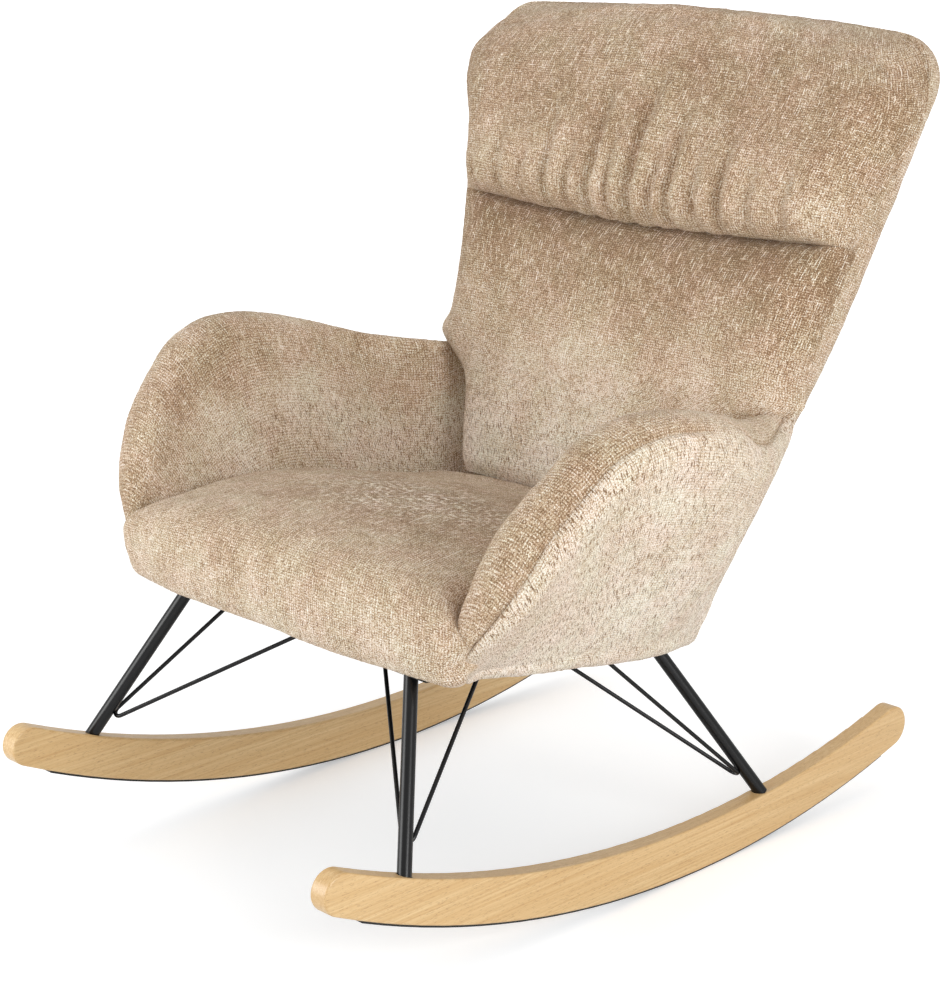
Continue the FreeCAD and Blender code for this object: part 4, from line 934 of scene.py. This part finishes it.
def zinc():
    """Zinc-plated steel of bolts and nuts: bright grey, with a passivated surface clouded every 3 mm."""
    made, tree, place = new_material("zinc_plated_steel")
    cloud = add_node(tree, "ShaderNodeTexNoise", {"Vector": place, "Scale": 300.0, "Detail": 3.0}).outputs[0]
    tone = add_node(tree, "ShaderNodeMix", {
        0: cloud, MIX_FIRST: colour("9FA2A5"), MIX_SECOND: colour("C4C7CA"),
    }, data_type="RGBA").outputs[MIX_COLOUR]
    rough = add_node(tree, "ShaderNodeMapRange", {"Value": cloud, "To Min": 0.3, "To Max": 0.5}).outputs[0]
    shader = add_node(tree, "ShaderNodeBsdfPrincipled", {
        "Base Color": tone, "Metallic": 1.0, "Roughness": rough,
    })
    add_node(tree, "ShaderNodeOutputMaterial", {"Surface": shader.outputs[0]})
    return made


def plywood():
    """Bare birch plywood: a pale rotary-cut face, matt, with figure 33 mm wide and 250 mm long."""
    made, tree, place = new_material("bare_plywood")
    laid = add_node(tree, "ShaderNodeMapping", {"Vector": place, "Scale": (30.0, 4.0, 30.0)}).outputs[0]
    figure = add_node(tree, "ShaderNodeTexNoise", {"Vector": laid, "Scale": 1.0, "Detail": 4.0,
                                                   "Distortion": 0.6}).outputs["Fac"]
    tone = add_node(tree, "ShaderNodeMix", {
        0: figure, MIX_FIRST: colour("B08D5E"), MIX_SECOND: colour("D9BC8F"),
    }, data_type="RGBA").outputs[MIX_COLOUR]
    bump = add_node(tree, "ShaderNodeBump", {"Height": figure, "Strength": 0.2, "Distance": 0.3 * MM})
    shader = add_node(tree, "ShaderNodeBsdfPrincipled", {
        "Base Color": tone, "Roughness": 0.75, "Normal": bump.outputs[0],
    })
    add_node(tree, "ShaderNodeOutputMaterial", {"Surface": shader.outputs[0]})
    return made


def dust_cloth():
    """Black spun-bonded cloth under the seat: matt, clouded every 4.5 mm, dots pressed in 1.4 mm apart."""
    made, tree, place = new_material("black_dust_cloth")
    dots = add_node(tree, "ShaderNodeTexVoronoi", {"Vector": place, "Scale": 700.0}).outputs["Distance"]
    fibre = add_node(tree, "ShaderNodeTexNoise", {"Vector": place, "Scale": 220.0, "Detail": 4.0}).outputs[0]
    tone = add_node(tree, "ShaderNodeMix", {
        0: fibre, MIX_FIRST: colour("161616"), MIX_SECOND: colour("2B2B2B"),
    }, data_type="RGBA").outputs[MIX_COLOUR]
    bump = add_node(tree, "ShaderNodeBump", {"Height": dots, "Strength": 0.4, "Distance": 0.4 * MM})
    shader = add_node(tree, "ShaderNodeBsdfPrincipled", {
        "Base Color": tone, "Roughness": 0.95, "Normal": bump.outputs[0],
    })
    add_node(tree, "ShaderNodeOutputMaterial", {"Surface": shader.outputs[0]})
    return made


def strip_plastic():
    """Black felt-faced plastic glide strip: matt, with fuzz of 2 mm."""
    made, tree, place = new_material("black_glide_strip")
    fuzz = add_node(tree, "ShaderNodeTexNoise", {"Vector": place, "Scale": 500.0, "Detail": 3.0}).outputs[0]
    tone = add_node(tree, "ShaderNodeMix", {
        0: fuzz, MIX_FIRST: colour("121212"), MIX_SECOND: colour("2A2A29"),
    }, data_type="RGBA").outputs[MIX_COLOUR]
    bump = add_node(tree, "ShaderNodeBump", {"Height": fuzz, "Strength": 0.3, "Distance": 0.3 * MM})
    shader = add_node(tree, "ShaderNodeBsdfPrincipled", {
        "Base Color": tone, "Roughness": 0.8, "Normal": bump.outputs[0],
    })
    add_node(tree, "ShaderNodeOutputMaterial", {"Surface": shader.outputs[0]})
    return made


fabric = chenille()
finishes = {
    "rocker_wood": beech(),
    "strip_black": strip_plastic(),
    "black_steel": powder_coat(),
    "zinc_steel": zinc(),
    "plywood": plywood(),
    "dust_cloth": dust_cloth(),
    "upholstery": fabric,
}
for part in frame["record"]["subparts"]:
    node = frame["nodes"][part["node"]]
    for slot in node.material_slots:
        slot.material = finishes[part["material_slot"]]

covers = (
    (make_arm("left", -1), 0.95),
    (make_arm("right", 1), 0.95),
    (make_seat(), 0.9),
    (make_lower_back(), 0.85),
    (make_head_pillow(), 0.75),
    (make_rear_cover(), 0.95),
)
for cover, fill in covers:
    cover.data.materials.append(fabric)
    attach(cover, "root")


# Floor, light and world: sizes in metres, lamps with place, aim, width and watts
FLOOR_HALF = 30.0
FLOOR_GLOW_PLACES = (1.0, 4.0)
FLOOR_GLOWS = (0.31, 0.75)
AMBIENT_LIGHT = 0.66
LAMPS = {
    "side_light": ((2.85, -0.5, 1.15), (0.0, 0.0, 0.45), 1.4, 48.0),
    "front_light": ((-1.4, -2.8, 0.9), (0.0, 0.0, 0.4), 1.8, 56.0),
    "top_light": ((-0.3, 0.3, 3.0), (0.0, 0.0, 0.4), 1.8, 14.0),
}


def make_floor():
    """A wide pale floor that keeps the chair's shadow and shows near white to the camera."""
    corners = [(x * FLOOR_HALF, y * FLOOR_HALF, 0.0) for x, y in ((-1, -1), (1, -1), (1, 1), (-1, 1))]
    mesh = bpy.data.meshes.new("floor")
    mesh.from_pydata(corners, [], [(0, 1, 2, 3)])
    floor = bpy.data.objects.new("floor", mesh)
    bpy.context.scene.collection.objects.link(floor)
    made, tree, place = new_material("pale_floor")
    plain = add_node(tree, "ShaderNodeBsdfDiffuse", {"Color": colour("F0F1F2")}).outputs[0]
    away = add_node(tree, "ShaderNodeVectorMath", {0: place}, operation="LENGTH").outputs["Value"]
    brightness = add_node(tree, "ShaderNodeMapRange", {
        "Value": away, "From Min": FLOOR_GLOW_PLACES[0], "From Max": FLOOR_GLOW_PLACES[1],
        "To Min": FLOOR_GLOWS[0], "To Max": FLOOR_GLOWS[1],
    }).outputs[0]
    white = colour("FFFFFF")
    glow = add_node(tree, "ShaderNodeEmission", {"Color": white, "Strength": brightness}).outputs[0]
    lit = add_node(tree, "ShaderNodeAddShader", {0: plain, 1: glow}).outputs[0]
    seen = add_node(tree, "ShaderNodeLightPath").outputs["Is Camera Ray"]
    both = add_node(tree, "ShaderNodeMixShader", {0: seen, 1: plain, 2: lit}).outputs[0]
    add_node(tree, "ShaderNodeOutputMaterial", {"Surface": both})
    mesh.materials.append(made)


def make_world():
    """White to the camera, plain soft grey light for everything else."""
    world = bpy.data.worlds.new("studio")
    bpy.context.scene.world = world
    world.use_nodes = True
    tree = world.node_tree
    tree.nodes.clear()
    seen = add_node(tree, "ShaderNodeLightPath").outputs["Is Camera Ray"]
    ambient = add_node(tree, "ShaderNodeBackground", {"Color": colour("FFFFFF"), "Strength": AMBIENT_LIGHT})
    white = add_node(tree, "ShaderNodeBackground", {"Color": colour("FFFFFF"), "Strength": 1.0})
    both = add_node(tree, "ShaderNodeMixShader", {0: seen, 1: ambient.outputs[0], 2: white.outputs[0]})
    add_node(tree, "ShaderNodeOutputWorld", {"Surface": both.outputs[0]})


def add_lamp(name, place, aim, wide, power):
    """A square soft lamp turned to a point."""
    data = bpy.data.lights.new(name, "AREA")
    data.size = wide
    data.energy = power
    lamp = bpy.data.objects.new(name, data)
    lamp.location = place
    lamp.rotation_euler = (Vector(aim) - Vector(place)).to_track_quat("-Z", "Y").to_euler()
    bpy.context.scene.collection.objects.link(lamp)


make_floor()
make_world()
for lamp_name, lamp_values in LAMPS.items():
    add_lamp(lamp_name, *lamp_values)
